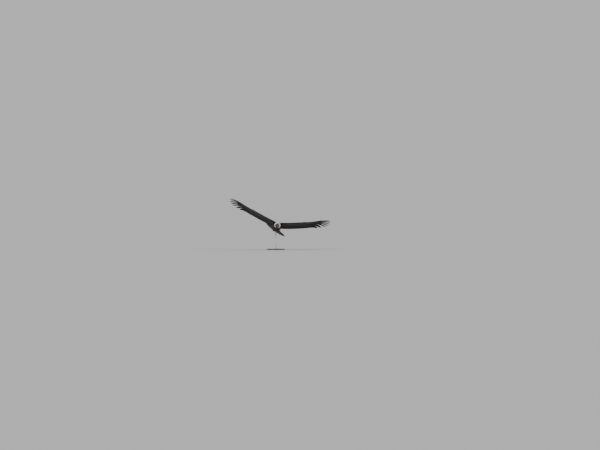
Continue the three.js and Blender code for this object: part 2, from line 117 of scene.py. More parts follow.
def profile(*points):
    """A smooth curve through (at, value) points that never swings past them, and is flat outside them."""
    at, value = (np.array(column, float) for column in zip(*points))
    width = np.diff(at)
    climb = np.diff(value) / width
    before = np.r_[climb[0], climb]
    after = np.r_[climb, climb[-1]]
    same = before * after > 0
    slope = np.where(same, 2 * before * after / np.where(same, before + after, 1), 0)

    def curve(x):
        x = np.clip(x, at[0], at[-1])
        i = np.clip(np.searchsorted(at, x, "right") - 1, 0, len(at) - 2)
        t = (x - at[i]) / width[i]
        h = t * t * (3 - 2 * t)
        bend = t * (1 - t) * width[i] * (slope[i] * (1 - t) - slope[i + 1] * t)
        return value[i] * (1 - h) + value[i + 1] * h + bend

    return curve


def degrees_profile(*points):
    return profile(*((at, rad(value)) for at, value in points))


def smooth(low, high, x):
    t = np.clip((x - low) / (high - low), 0, 1)
    return t * t * (3 - 2 * t)


def bump(value, width):
    return np.exp(-((value / width) ** 2))


def unit(vectors):
    """The same directions with a length of one."""
    return vectors / np.maximum(np.linalg.norm(vectors, axis=-1, keepdims=True), 1e-9)


def full_turn(count):
    """Angles all the way round, evenly apart."""
    return np.linspace(0, 2 * np.pi, count, endpoint=False)


def shift(x, y, z):
    return np.array(Matrix.Translation((x, y, z)))


def turn(axis, angle):
    return np.array(Matrix.Rotation(angle, 4, axis))


def moved(points, matrix):
    return points @ matrix[:3, :3].T + matrix[:3, 3]


BIRD = (
    shift(BELLY_DEPTH * math.sin(ROLL), -BODY_FORWARD, BODY_HEIGHT)
    @ turn("Z", YAW)
    @ turn("X", -PITCH)
    @ turn("Y", ROLL)
)
HEAD = shift(*HEAD_AT) @ turn("X", HEAD_DROOP) @ turn("Y", HEAD_ROLL)
TAIL = shift(0, TAIL_ROOT, TAIL_ROOT_HEIGHT) @ turn("X", TAIL_RAISE) @ turn("Y", TAIL_TWIST)
RUFF = shift(*RUFF_AT) @ turn("X", RUFF_TILT)


def on_stand(points):
    """Body-frame millimetres to the row's frame in metres."""
    return moved(points, BIRD) * 0.001


# Meshes: faces are rows of four vertex numbers, with -1 in the last column of a triangle


def shifted(faces, by):
    """The same faces on vertices that come this many places later."""
    return np.where(faces >= 0, faces + by, -1)


def corner_vertices(faces):
    """Four vertex numbers for every face: a triangle's first one comes twice."""
    return np.where(faces >= 0, faces, faces[:, :1])


def turned_over(faces):
    return np.where(faces[:, 3:] >= 0, faces[:, [3, 2, 1, 0]], faces[:, [2, 1, 0, 3]])


def tube_faces(rings, around):
    """The faces of one closed tube, and the place round the ring of each."""
    r, i = np.meshgrid(np.arange(rings - 1), np.arange(around), indexing="ij")
    j = (i + 1) % around
    sides = np.stack([r * around + i, r * around + j, (r + 1) * around + j, (r + 1) * around + i], -1)
    sides = sides.reshape(-1, 4)
    caps = [[0, 1, around - 1, -1]]
    for k in range(1, around // 2):
        if k + 1 < around - 1 - k:
            caps.append([k, k + 1, around - 1 - k, around - k])
        elif k + 1 == around - 1 - k:
            caps.append([k, k + 1, around - k, -1])
    caps = np.array(caps)
    faces = np.vstack([sides, turned_over(caps), shifted(caps, (rings - 1) * around)])
    column = np.r_[i.ravel(), np.zeros(2 * len(caps), int)]
    return faces, column


def outward(points, faces):
    """The faces turned so that the closed surface has them facing out."""
    a, b, c = (points[faces[:, k]] for k in range(3))
    d = points[np.where(faces[:, 3] >= 0, faces[:, 3], faces[:, 0])]
    volume = (np.cross(a, b) * c).sum() + (np.cross(a, c) * d).sum()
    return faces if volume >= 0 else turned_over(faces)


def piece(name, points, faces, uv=None, values=None, rims=None, soft=True):
    """A mesh object. uv holds one place per face corner for each map, values one number per vertex,
    and rims the line each vertex lies on: an edge along one line stays sharp.
    A piece that isn't soft has flat faces."""
    made = bpy.data.meshes.new(name)
    real = faces >= 0
    loops = faces[real]
    starts = np.r_[0, np.cumsum(real.sum(1))[:-1]]
    made.vertices.add(len(points))
    made.vertices.foreach_set("co", points.astype(np.float32).ravel())
    made.loops.add(len(loops))
    made.loops.foreach_set("vertex_index", loops.astype(np.int32))
    made.polygons.add(len(faces))
    made.polygons.foreach_set("loop_start", starts.astype(np.int32))
    made.update(calc_edges=True)
    for key, places in (uv or {}).items():
        layer = made.uv_layers.new(name=key, do_init=False)
        layer.data.foreach_set("uv", places[real].astype(np.float32).ravel())
    for key, numbers in (values or {}).items():
        field = made.attributes.new(key, "FLOAT", "POINT")
        field.data.foreach_set("value", numbers.astype(np.float32))
    if rims is not None:
        ends = np.zeros(len(made.edges) * 2, np.int32)
        made.edges.foreach_get("vertices", ends)
        a, b = rims[ends.reshape(-1, 2)].T
        sharp = made.attributes.new("sharp_edge", "BOOLEAN", "EDGE")
        sharp.data.foreach_set("value", (a == b) & (a > 0))
    if not soft:
        made.polygons.foreach_set("use_smooth", np.zeros(len(faces), bool))
    shown = bpy.data.objects.new(name, made)
    bpy.context.scene.collection.objects.link(shown)
    return shown


def loft(rings):
    """Points and faces of one closed tube through rings of points."""
    rings = np.asarray(rings, float)
    points = rings.reshape(-1, 3)
    return points, outward(points, tube_faces(*rings.shape[:2])[0])


def joined(*solids):
    """Several (points, faces) as one."""
    points, faces, at = [], [], 0
    for more, sides in solids:
        points.append(more)
        faces.append(shifted(sides, at))
        at += len(more)
    return np.vstack(points), np.vstack(faces)


def directions(one, two, angle):
    """Directions round an axis, from one towards two, at these angles."""
    return np.cos(angle)[..., None] * one + np.sin(angle)[..., None] * two


def remeshed(name, solids, voxel):
    """Overlapping closed solids, in millimetres, melted into one smooth skin."""
    points, faces = joined(*solids)
    block = piece(name, points, faces)
    melt = block.modifiers.new("melt", "REMESH")
    melt.mode = "VOXEL"
    melt.voxel_size = voxel
    even = block.modifiers.new("even", "CORRECTIVE_SMOOTH")
    even.iterations = 4
    even.use_only_smooth = True
    graph = bpy.context.evaluated_depsgraph_get()
    done = bpy.data.meshes.new_from_object(block.evaluated_get(graph))
    count = len(done.vertices)
    places = np.zeros(count * 3, np.float32)
    done.vertices.foreach_get("co", places)
    corners = np.zeros(len(done.loops), np.int32)
    done.loops.foreach_get("vertex_index", corners)
    totals = np.zeros(len(done.polygons), np.int32)
    done.polygons.foreach_get("loop_total", totals)
    sides = np.full((len(totals), 4), -1)
    sides[np.arange(4) < totals[:, None]] = corners
    normals = np.zeros(count * 3, np.float32)
    done.vertex_normals.foreach_get("vector", normals)
    bpy.data.objects.remove(block)
    return places.reshape(-1, 3).astype(float), sides, normals.reshape(-1, 3).astype(float)


def oval(y, half, up, down, x=0.0, z=0.0, spin=0.0, square=2.2, count=20, angle=None):
    """Points round an oval across the y axis: half width, height above and depth below its middle."""
    a = full_turn(count) if angle is None else angle
    c, s = np.cos(a), np.sin(a)
    across = half * np.sign(c) * np.abs(c) ** (2 / square)
    height = np.where(s > 0, up, down) * np.sign(s) * np.abs(s) ** (2 / square)
    spun = [across * np.cos(spin) + height * np.sin(spin), height * np.cos(spin) - across * np.sin(spin)]
    return np.stack(np.broadcast_arrays(x + spun[0], y, z + spun[1]), -1)


# The bird's outlines, as in the solids

trunk_half = profile(
    (-240, 14), (-215, 52), (-170, 86), (-90, 118), (20, 130),
    (130, 112), (220, 82), (300, 66), (370, 62), (408, 30),
)
trunk_up = profile(
    (-240, 12), (-215, 46), (-160, 78), (-60, 98), (40, 97),
    (140, 80), (220, 60), (300, 36), (370, 18), (408, 5),
)
trunk_down = profile(
    (-240, 12), (-215, 54), (-175, 84), (-100, 110), (-10, 119), (70, 114),
    (150, 96), (230, 68), (300, 42), (370, 20), (408, 5),
)
trunk_mid = profile((-240, -22), (-120, 0), (150, 0), (300, 6), (408, 4))
trunk_twist = profile((130, 0), (330, TAIL_TWIST))
thigh_half = profile((18, 8), (42, 32), (90, 41), (145, 35), (195, 22), (212, 14))
thigh_x = profile((18, 68), (212, 50))
thigh_z = profile((18, -58), (100, -72), (212, -82))


def trunk_radius(y):
    return (trunk_half(y) + (trunk_up(y) + trunk_down(y)) / 2) / 2


def trunk_point(y, angle, off):
    half, up, down = (curve(y) + off for curve in (trunk_half, trunk_up, trunk_down))
    return oval(y, half, up, down, z=trunk_mid(y), spin=trunk_twist(y), angle=angle)


def thigh_point(y, angle, off, side):
    half = thigh_half(y) + off
    return oval(y, half, half, half * 1.05, x=side * thigh_x(y), z=thigh_z(y), angle=angle)


lead = profile(
    (0, -92), (120, -100), (330, -114), (WRIST, -138), (HAND_END, -122), (1080, -108), (1196, -92),
)
trail = profile(
    (0, 280), (120, 296), (190, 318), (330, 338), (600, 358), (885, 376),
    (1000, 368), (1080, 345), (1130, 290), (1170, 180), (1196, -30),
)
incidence = degrees_profile((100, 7.5), (600, 7), (1000, 8), (HALF_SPAN, 11))
camber = profile((60, 0.05), (250, 0.07), (700, 0.06), (1150, 0.035), (HALF_SPAN, 0.02))
wing_thick = profile((60, 66), (200, 54), (400, 40), (WRIST, 30), (HAND_END, 15), (1100, 4), (HALF_SPAN, 1))
chord_share = profile(
    (0, 0), (0.01, 0.34), (0.04, 0.62), (0.13, 1), (0.25, 0.82), (0.42, 0.3), (0.6, 0.08), (1, 0),
)


def chord_at(out):
    return np.maximum(trail(np.minimum(out, CHORD_END)) - lead(out), 1)


def chord_place(out, back):
    return (back - lead(out)) / chord_at(out)


def wing_point(out, back, off, side):
    """The place above planform point (out, back) and this far off the wing's middle surface."""
    root, tip = DIHEDRAL[side]
    bend = (tip - root) / HALF_SPAN
    angle = root + bend * out
    x = (np.sin(angle) - math.sin(root)) / bend
    z = (math.cos(root) - np.cos(angle)) / bend
    chord = chord_at(out)
    c, p = np.clip(chord_place(out, back), 0, 1), CAMBER_AT
    front = (2 * p * c - c * c) / (p * p)
    rear = (1 - 2 * p + 2 * p * c - c * c) / (1 - p) ** 2
    slant = np.tan(incidence(out) - FLATTER[side])
    curve = camber(out) * chord * np.where(c < p, front, rear)
    height = off + curve - (back - lead(out) - p * chord) * slant
    across = side * (x - height * np.sin(angle))
    return np.stack([across, back + 0 * x, WING_HEIGHT + z + height * np.cos(angle)], -1)


def flesh(out, back, face):
    """How far the wing's surface lies off its middle, on its upper (1) or under (-1) face."""
    share = chord_share(np.clip(chord_place(out, back), 0, 1))
    return wing_thick(out) * share * (UPPER_SHARE if face > 0 else 1 - UPPER_SHARE)


def tail_point(x, y, off):
    """A place on the flat fan, measured from its root."""
    return moved(np.stack([x, y, off + 0 * x], -1), TAIL)


# Vanes: a feather is a thin closed blade, laid along a line on a chart of the surface below it

CONTOUR = profile((0, 0.3), (0.22, 0.78), (0.5, 1), (0.74, 0.93), (0.9, 0.66), (0.97, 0.36), (1, 0.1))


def straight(root, heading, length, stations, bow=0.0):
    """Middle lines on a chart of flat millimetres, and the direction across each.
    heading turns from the chart's second direction towards its first."""
    along = np.stack([np.sin(heading), np.cos(heading)], -1)[:, None]
    across = np.stack([np.cos(heading), -np.sin(heading)], -1)[:, None]
    t = stations[None, :, None]
    middle = root[:, None] + along * (length[:, None, None] * t)
    middle = middle + across * (np.reshape(bow, (-1, 1, 1)) * 4 * t * (1 - t))
    return middle, across + 0 * middle


def blades(
    chart, middle, across, left, right, stations, off, sides=(-1, 0, 1), shaft=0.0, cup=0.0, thick=0.7
):
    """Closed blades round middle lines. left and right are the vane's reach each side of the middle line,
    off(t, s, lateral) how far it lies off the chart. Returns what piece() and coat() need."""
    count, length = middle.shape[:2]
    s = np.asarray(sides, float)
    reach = np.where(s < 0, left[..., None], right[..., None])
    lateral = s * reach
    t = stations[None, :, None] + 0 * lateral
    place = middle[:, :, None] + across[:, :, None] * lateral[..., None]
    arch = cup * np.maximum(left, right)[..., None] * (1 - s**2)
    ridge = np.exp(-((s / 0.12) ** 2)) * shaft
    top = off(t, s + 0 * lateral, lateral) + arch + 0.5 * ridge
    body = np.where(np.abs(s) < 1, thick * (1 - 0.75 * np.abs(s)) + 1.4 * ridge, 0)
    upper = chart(place[..., 0], place[..., 1], top)
    under = chart(place[..., 0], place[..., 1], top - body)
    inner = slice(len(s) - 2, 0, -1)
    rings = np.concatenate([upper, under[:, :, inner]], 2)
    around = rings.shape[2]
    faces, column = tube_faces(length, around)
    points = rings.reshape(-1, 3)
    stride = length * around
    all_faces = shifted(faces, np.arange(count)[:, None, None] * stride).reshape(-1, 4)
    mark = np.zeros(around, int)
    mark[0], mark[len(s) - 1] = 1, 2
    return {
        "points": points,
        "faces": outward(points, all_faces),
        "per": stride,
        "count": count,
        "s": np.tile(np.r_[s, s[inner]], count * length),
        "t": np.repeat(np.tile(stations, count), around),
        "lateral": np.concatenate([lateral, lateral[:, :, inner]], 2).ravel(),
        "side": np.tile(np.r_[np.ones(len(s)), -np.ones(around - len(s))], count * length),
        "under_face": np.tile(column >= len(s) - 1, count),
        "rims": np.tile(mark, count * length),
    }


def each(made, numbers):
    """One number for each blade, given to all its vertices."""
    return np.repeat(np.broadcast_to(numbers, made["count"]), made["per"])


# The side of one tuft's patch on the map
PATCH = 0.003


def coat(name, made, length, roots=None, pale=None):
    """A coat piece from blades. vane is the barbs' map, in tenths of a metre across and along each blade.
    OFBake gives each tuft a small patch at its root's place, or without roots each feather two strips."""
    tone = rng.random(made["count"])
    run = made["t"] * each(made, length) * 0.01
    vane = np.stack([made["lateral"] * 0.01, run], -1)
    u, v = (made["s"] + 1) / 2, made["t"]
    corners = corner_vertices(made["faces"])
    if roots is None:
        number = np.repeat(np.arange(made["count"]), made["per"])[corners]
        strip = number * 2 + made["under_face"][:, None]
        across = (strip + 0.06 + 0.88 * u[corners]) / (2 * made["count"])
        bake = np.stack([across, 0.01 + 0.98 * v[corners]], -1)
    else:
        local = np.repeat(roots, made["per"], 0) + PATCH * np.stack([u - 0.5, v - 0.5], -1)
        bake = local[corners]
    return piece(
        name,
        on_stand(made["points"]),
        made["faces"],
        uv={"OFBake": bake, "vane": vane[corners]},
        values={"tone": each(made, tone), "pale": np.zeros(len(made["points"])) if pale is None else pale},
        rims=made["rims"],
    )


def spread(first, second):
    """Places of roots on the unwrapped skin, spread over the whole map."""
    columns = [0.01 + 0.98 * (at - at.min()) / np.ptp(at) for at in (first, second)]
    return np.stack(columns, -1)


def tufts(chart, lines, root, length, half, stations, off, **shape):
    """One layer of small feathers round (middle, across) lines, this wide to each side: their blades,
    their lengths and their roots' places on the map."""
    width = half[:, None] * CONTOUR(stations)[None]
    made = blades(chart, *lines, width, width, stations, off, **shape)
    return made, length, spread(*root.T)


def merged(*parts):
    """Blade sets with the same stations and sides as one, what belongs to each vertex kept in order."""
    made = dict(parts[0])
    starts = np.cumsum([0] + [len(p["points"]) for p in parts[:-1]])
    made["faces"] = np.vstack([shifted(p["faces"], at) for p, at in zip(parts, starts)])
    made["count"] = sum(p["count"] for p in parts)
    for key in ("points", "s", "t", "lateral", "side", "under_face", "rims"):
        made[key] = np.concatenate([p[key] for p in parts])
    return made


# Flight feathers


def secondary_tip_out(n):
    return OUTER_SECONDARY_OUT - (OUTER_SECONDARY_OUT - INNER_SECONDARY_OUT) * (n - 1) / (SECONDARIES - 1)


secondary_root_back = profile((185, 34), (400, 8), (625, -62))
primary_tip_out = profile((1, 930), (4, 1130), (6, 1360), (8, 1460), (9, 1490), (10, 1474))
primary_tip_back = profile((1, 375), (4, 348), (6, 262), (8, 108), (10, -66))
finger_lift = profile((1, 0), (2, -4), (3, -14), (4, -38), (6, -76), (8, -82), (10, -52))
finger_parts = profile((4, 1.0), (5, 0.88), (6, 0.75), (7, 0.67), (10, 0.58))
finger_wide = profile((0, 24), (0.12, 31), (0.42, 37), (0.86, 38), (0.94, 33), (0.98, 22), (1, 6))
finger_slim = profile((0, 23), (0.66, 24), (0.92, 20), (0.98, 11), (1, 3))
broad_half = profile((0, 10), (0.3, 22), (0.6, 31), (0.85, 33), (0.94, 30), (0.98, 20), (1, 6))


def flight_lines():
    """Root and tip of each flight feather of a wing on its planform, from the inner tertial outwards."""
    rows = []
    for k in range(TERTIALS):
        out = INNER_SECONDARY_OUT - (TERTIALS - k) * TERTIAL_PITCH
        rows.append(((120 + 14 * k, 34), (out, trail(out) - 3.5 * (TERTIALS - k) ** 1.6)))
    for n in range(SECONDARIES, 0, -1):
        share = (n - 1) / (SECONDARIES - 1)
        root_out = SECONDARY_ROOT_OUTER - (SECONDARY_ROOT_OUTER - SECONDARY_ROOT_INNER) * share
        tip_out = secondary_tip_out(n)
        rows.append(((root_out, secondary_root_back(root_out)), (tip_out, trail(tip_out))))
    for n in range(1, PRIMARIES + 1):
        share = (n - 1) / (PRIMARIES - 1)
        root = [a + (b - a) * share for a, b in zip(FIRST_PRIMARY_ROOT, LAST_PRIMARY_ROOT)]
        rows.append((root, (primary_tip_out(n), primary_tip_back(n))))
    return (np.array(column, float) for column in zip(*rows))


ROOTS, TIPS = flight_lines()
FLIGHTS = len(ROOTS)
FIRST_PRIMARY = FLIGHTS - PRIMARIES
PRIMARY_NUMBER = np.arange(FLIGHTS) - FIRST_PRIMARY + 1


def crosswise(along):
    """The flat directions across these ones, towards the leading edge."""
    return np.stack([along[..., 1], -along[..., 0]], -1)


def bowed(roots, tips, stations):
    """Middle lines that bow a little forward, and the direction across them towards the leading edge."""
    along = tips - roots
    length = np.hypot(*along.T)
    bow = FEATHER_BOW * length[:, None] * crosswise(along / length[:, None])
    t = stations[None, :, None]
    middle = roots[:, None] + along[:, None] * t + bow[:, None] * 2 * t * (1 - t)
    return middle, crosswise(unit(along[:, None] + bow[:, None] * 2 * (1 - 2 * t))), length


FLIGHT_STATIONS = np.r_[np.linspace(0, 0.9, 38), 0.92, 0.935, 0.95, 0.962, 0.973, 0.983, 0.992, 1]
FLIGHT_SIDES = (-1, -0.93, -0.6, -0.25, -0.07, 0, 0.1, 0.5, 0.93, 1)
# How much a vane tilts over its neighbour, how much more a finger does, and where fingers begin to lift
TILT = 0.05
FINGER_TILT = 0.12
FINGER_FREE = 0.45


def splits(count, stations, chance, depth):
    """How far the vane's edge is notched at each station, where its barbs have parted."""
    open_here = rng.random((count, len(stations))) < chance
    return 1 - open_here * depth * rng.random((count, len(stations))) * (stations > 0.35)


def flight_feathers(side):
    stations = FLIGHT_STATIONS
    middle, across, length = bowed(ROOTS, TIPS, stations)
    is_finger = (PRIMARY_NUMBER >= FIRST_FINGER)[:, None]
    parts = finger_parts(np.maximum(PRIMARY_NUMBER, FIRST_FINGER))[:, None]
    slim = smooth(parts - 0.035, parts + 0.055, stations[None])
    finger = finger_wide(stations) + (finger_slim(stations) - finger_wide(stations)) * slim
    short = np.clip(np.arange(FLIGHTS) / 5 + 0.45, 0.45, 1)
    half = np.where(is_finger, finger, broad_half(stations)[None]) * short[:, None]
    lead_web = np.where(is_finger, 0.75 - 0.15 * slim, 0.7) * half * splits(FLIGHTS, stations, 0.02, 0.15)
    rear_web = np.where(is_finger, 1.25 + 0.1 * slim, 1.25) * half * splits(FLIGHTS, stations, 0.035, 0.22)
    number = np.maximum(PRIMARY_NUMBER, 1)[:, None, None]
    tilt = TILT + FINGER_TILT * (slim * is_finger)[:, :, None]

    def off(t, s, lateral):
        lift = finger_lift(number) * (np.maximum(t - FINGER_FREE, 0) / (1 - FINGER_FREE)) ** 2
        flop = rng.normal(0, 0.5, (FLIGHTS, 1, 1)) * t
        return tilt * lateral + lift + flop

    shaft = (2.6 * (1 - 0.85 * stations))[None, :, None]
    chart = partial(wing_point, side=side)
    made = blades(chart, middle, across, rear_web, lead_web, stations, off, FLIGHT_SIDES, shaft, cup=0.03)
    return made, length


def white_of_flights(made):
    """The upper wing's white: the outer webs of the secondaries and the inner primaries.
    A few feathers show a pale tip below."""
    number = np.repeat(PRIMARY_NUMBER, made["per"])
    strength = np.interp(number, [-28, -25, -23, 1, 4, 7], [0, 0.4, 1, 0.9, 0.45, 0])
    outer = np.clip((made["s"] + 0.3) / 0.4, 0, 1) * (np.abs(made["s"]) < 0.99)
    tip = np.clip((0.985 - made["t"]) / 0.03, 0.25, 1)
    inner_fade = np.clip((number + 27) / 3, 0, 1)
    fleck = each(made, (rng.random(made["count"]) < 0.22) * rng.uniform(0.35, 0.7, made["count"]))
    fleck = fleck * (number < FIRST_FINGER) * smooth(0.955, 0.985, made["t"])
    fleck = fleck * smooth(0.95, 0.5, np.abs(made["s"]))
    return np.where(made["side"] > 0, strength * outer * tip * inner_fade, fleck)


# Coverts

COVERT_STATIONS = np.array([0, 0.2, 0.42, 0.64, 0.82, 0.92, 0.975, 1])
COVERT_SIDES = (-1, -0.5, 0, 0.5, 1)
SMALL_STATIONS = np.array([0, 0.3, 0.6, 0.82, 0.94, 1])
heading_at = degrees_profile((60, -6), (185, -2), (400, 12), (625, 30), (700, 38), (860, 72), (1000, 84))
root_back_at = profile((60, 40), (185, 34), (400, 8), (625, -62), (660, -62), (HAND_END, -86), (1000, -92))


def laid(face, side, inset, rise):
    """Chart and height of feathers that lie on a wing's upper or under face."""

    def chart(out, back, off):
        return wing_point(out, back, face * (flesh(out, back, face) + off), side)

    def off(t, s, lateral):
        return -inset + rise * t + TILT * lateral * face

    return chart, off


def along_flights(side, face, start, share, half_width, density, rise, inset):
    """A row of coverts along the flight feathers, from this share of their length.
    Returns the blades, their lengths and roots, and each one's place among the flight feathers."""
    number = np.arange(0, FLIGHTS - 1 + 1e-6, 1 / density)
    number = number + rng.normal(0, 0.08, len(number))
    size = share * rng.normal(1, 0.03, len(number))
    at = start + size[:, None] * COVERT_STATIONS
    roots, tips = (
        np.stack([np.interp(number, np.arange(FLIGHTS), ends[:, i]) for i in (0, 1)], -1)
        for ends in (ROOTS, TIPS)
    )
    along = tips - roots
    length = np.hypot(*along.T)
    middle = roots[:, None] + along[:, None] * at[..., None]
    across = np.repeat(crosswise(along / length[:, None])[:, None], len(COVERT_STATIONS), 1)
    width = half_width * CONTOUR(COVERT_STATIONS)[None] * np.clip(length / 400, 0.6, 1)[:, None]
    chart, off = laid(face, side, inset, rise)
    webs = (width * 1.1, width * 0.9)
    made = blades(chart, middle, across, *webs, COVERT_STATIONS, off, COVERT_SIDES, shaft=0.7, cup=0.05)
    return made, length * size, middle[:, 0], number


LESSER_ROWS = 9


def lesser_rows():
    """Rows of small coverts between the leading edge and the flight feathers' roots."""
    roots, headings, lengths = [], [], []
    for k in range(LESSER_ROWS):
        f = (k + 0.15) / LESSER_ROWS
        out = 70.0
        row = []
        while out < 890:
            depth = root_back_at(out) - lead(out)
            size = np.interp(f, [0, 1], [26, 74]) * np.clip(depth / 130, 0.55, 1)
            row.append((out, lead(out) + f * depth, size))
            out += size * 0.3
        row = np.array(row)
        row[:, 0] += rng.normal(0, 2.0, len(row)) + (k % 2) * 5
        row[:, 1] += rng.normal(0, 1.5, len(row)) * (f > 0.05)
        roots.append(row[:, :2])
        headings.append(heading_at(row[:, 0]) * 0.8 + rad(8) + rng.normal(0, rad(4), len(row)))
        lengths.append(row[:, 2] * rng.normal(1, 0.06, len(row)))
    return np.vstack(roots), np.concatenate(headings), np.concatenate(lengths)


def lesser_coverts(side, face):
    root, heading, length = lesser_rows()
    lines = straight(root, heading, length, SMALL_STATIONS)
    chart, off = laid(face, side, 2.2, 3.4)
    return tufts(chart, lines, root, length, 0.30 * length, SMALL_STATIONS, off, cup=0.12)


def scapulars(side):
    """Long shoulder feathers that come out from under the back's and lap the wing's root."""
    roots = []
    for k, back in enumerate(np.arange(-84, 175, 14.0)):
        out = np.arange(62 + 6 * (k % 2), 158 + rng.uniform(-14, 14) - 0.1 * (back + 84), 11.0)
        roots.append(np.stack([out + rng.normal(0, 2, len(out)), back + rng.normal(0, 2.5, len(out))], -1))
    root = np.vstack(roots)
    heading = np.interp(root[:, 0], [44, 190], [rad(15), rad(0)]) + rng.normal(0, rad(4), len(root))
    length = np.interp(root[:, 1], [-84, 20, 170], [46, 74, 92]) * rng.normal(1, 0.12, len(root))
    lines = straight(root, heading, length, COVERT_STATIONS)
    buried = (5 * smooth(112, 60, root[:, 0]) + 2.0)[:, None, None]
    chart, _ = laid(1, side, 0, 0)

    def off(t, s, lateral):
        return 2.6 - buried * (1 - t) ** 1.5 + TILT * lateral

    return tufts(chart, lines, root, length, 0.19 * length, COVERT_STATIONS, off, cup=0.10)


NOSE = 9


def nose_point(out, w, off, side):
    """A place round the leading edge: w is how far behind the edge it lies, negative on the underside."""
    ahead = bump(w, NOSE)
    back = lead(out) + np.abs(w)
    height = np.where(w >= 0, flesh(out, back, 1), -flesh(out, back, -1)) + np.sign(w) * off * (1 - ahead)
    return wing_point(out, back - off * ahead, height, side)


def edge_coverts(side):
    """Small feathers that lap the leading edge and point outwards along it."""
    roots, headings = [], []
    for k, w in enumerate((-15, -10.5, -6.5, -2.8, 1, 4.8, 9, 14)):
        out = np.arange(64 + 3.5 * (k % 2), 985, 7.0)
        out = out + rng.normal(0, 1.2, len(out))
        roots.append(np.stack([out, w + rng.normal(0, 0.6, len(out))], -1))
        turn = np.sign(w - 1e-3) * rad(8 + 1.8 * abs(w))
        headings.append(rad(90) - turn + rng.normal(0, rad(5), len(out)))
    root, heading = np.vstack(roots), np.concatenate(headings)
    length = rng.uniform(21, 28, len(root))
    lines = straight(root, heading, length, SMALL_STATIONS)

    def off(t, s, lateral):
        return -2.4 + 3.4 * t

    half = np.full(len(root), 4.6)
    return tufts(partial(nose_point, side=side), lines, root, length, half, SMALL_STATIONS, off, cup=0.12)


def alula(side):
    """The few stiff feathers of the thumb, along the leading edge of the hand."""
    root = np.array([[668, -112], [676, -104], [684, -97], [690, -90]], float)
    length = np.array([150.0, 128, 104, 84])
    heading = np.array([rad(88), rad(84), rad(80), rad(76)])
    middle, across = straight(root, heading, length, COVERT_STATIONS, bow=np.full(4, 3.0))
    width = 15 * CONTOUR(COVERT_STATIONS)[None] * np.ones((4, 1))
    chart, off = laid(1, side, -1.5, 3.0)
    webs = (width, width * 0.6)
    made = blades(chart, middle, across, *webs, COVERT_STATIONS, off, COVERT_SIDES, shaft=0.9, cup=0.06)
    return made, length


# Body feathers


def body_rows(low, high, size_at, gap, sideways, wanted):
    """Staggered rows of roots round the trunk, from front to back. size_at gives a feather's length."""
    roots, lengths = [], []
    y, k = low, 0
    while y < high:
        girth = 2 * np.pi * trunk_radius(y)
        size = size_at(y)
        number = max(int(girth / (size * sideways)), 6)
        angle = (np.arange(number) + 0.5 * (k % 2)) * 2 * np.pi / number
        angle = (angle + rng.normal(0, 0.16 / number * 2 * np.pi, number)) % (2 * np.pi)
        roots.append(np.stack([np.full(number, y) + rng.normal(0, size * 0.06, number), angle], -1))
        lengths.append(size * rng.normal(1, 0.11, number))
        y += size * gap
        k += 1
    roots, lengths = np.vstack(roots), np.concatenate(lengths)
    chosen = wanted(roots[:, 0], roots[:, 1])
    return roots[chosen], lengths[chosen]


# The bare crop, low on the breast under the ruff
CROP_LOW = -96
CROP_HALF = 47
CROP_TALL = 44
CROP_ROWS = 100


def from_crop(points):
    """How far a place is from the middle of the bare crop: 1 at its edge."""
    x, y, z = points[..., 0], points[..., 1], points[..., 2]
    return np.hypot(x / CROP_HALF, (z - CROP_LOW) / CROP_TALL) + np.clip((y + 120) / 40, 0, 9)


def off_crop(y, angle):
    place = trunk_point(y, angle, 0)
    return from_crop(place) > 1 + 0.06 * rng.normal(0, 1, len(y))


SHOULDER_START = -118
SHOULDER_FULL = -50


def back_point(y, angle, off):
    """The trunk's surface, raised over the inner ends of the wings so that back and shoulders run on."""
    place = trunk_point(y, angle, off)
    x, along = np.abs(place[..., 0]), place[..., 1]
    under_wing = np.maximum(along, SHOULDER_FULL)
    height = flesh(x, under_wing, 1) + 1.5 + off
    tops = [wing_point(x * 1.03, under_wing, height, side)[..., 2] for side in (1, -1)]
    top = np.where(place[..., 0] > 0, *tops)
    upper = smooth(rad(10), rad(28), np.arcsin(np.clip(np.sin(angle), -1, 1)))
    beside = smooth(42, 84, x) * upper
    reach = beside * smooth(SHOULDER_START, SHOULDER_FULL, along) * smooth(175, 90, along)
    place[..., 2] += np.maximum(top - place[..., 2], 0) * reach
    return place


def round_body(roots, lengths, stations, girth_at, lean=0.0):
    """Middle lines that run back over a round body: the chart's first place is y, its second the angle."""
    y, angle = roots.T
    t = stations[None, :]
    run = lengths[:, None] * t
    down = np.reshape(lean, (-1, 1)) * run
    at_y = y[:, None] + run
    girth = girth_at(np.clip(at_y, -235, 400))
    middle = np.stack([at_y, angle[:, None] + down / girth], -1)
    across = np.stack([0 * at_y, 1 / girth], -1)
    return middle, across


body_size = profile((-240, 24), (-200, 34), (-120, 50), (20, 66), (180, 74), (300, 88), (400, 96))


def body_feathers(low, high, wanted):
    roots, lengths = body_rows(low, high, body_size, 0.19, 0.30, wanted)
    lean = rng.normal(0, 0.10, len(roots))
    lines = round_body(roots, lengths, COVERT_STATIONS, trunk_radius, lean)

    def off(t, s, lateral):
        return -7.5 + 9.5 * t - 2.5 * t * t

    return tufts(back_point, lines, roots[:, ::-1], lengths, 0.29 * lengths, COVERT_STATIONS, off, cup=0.10)


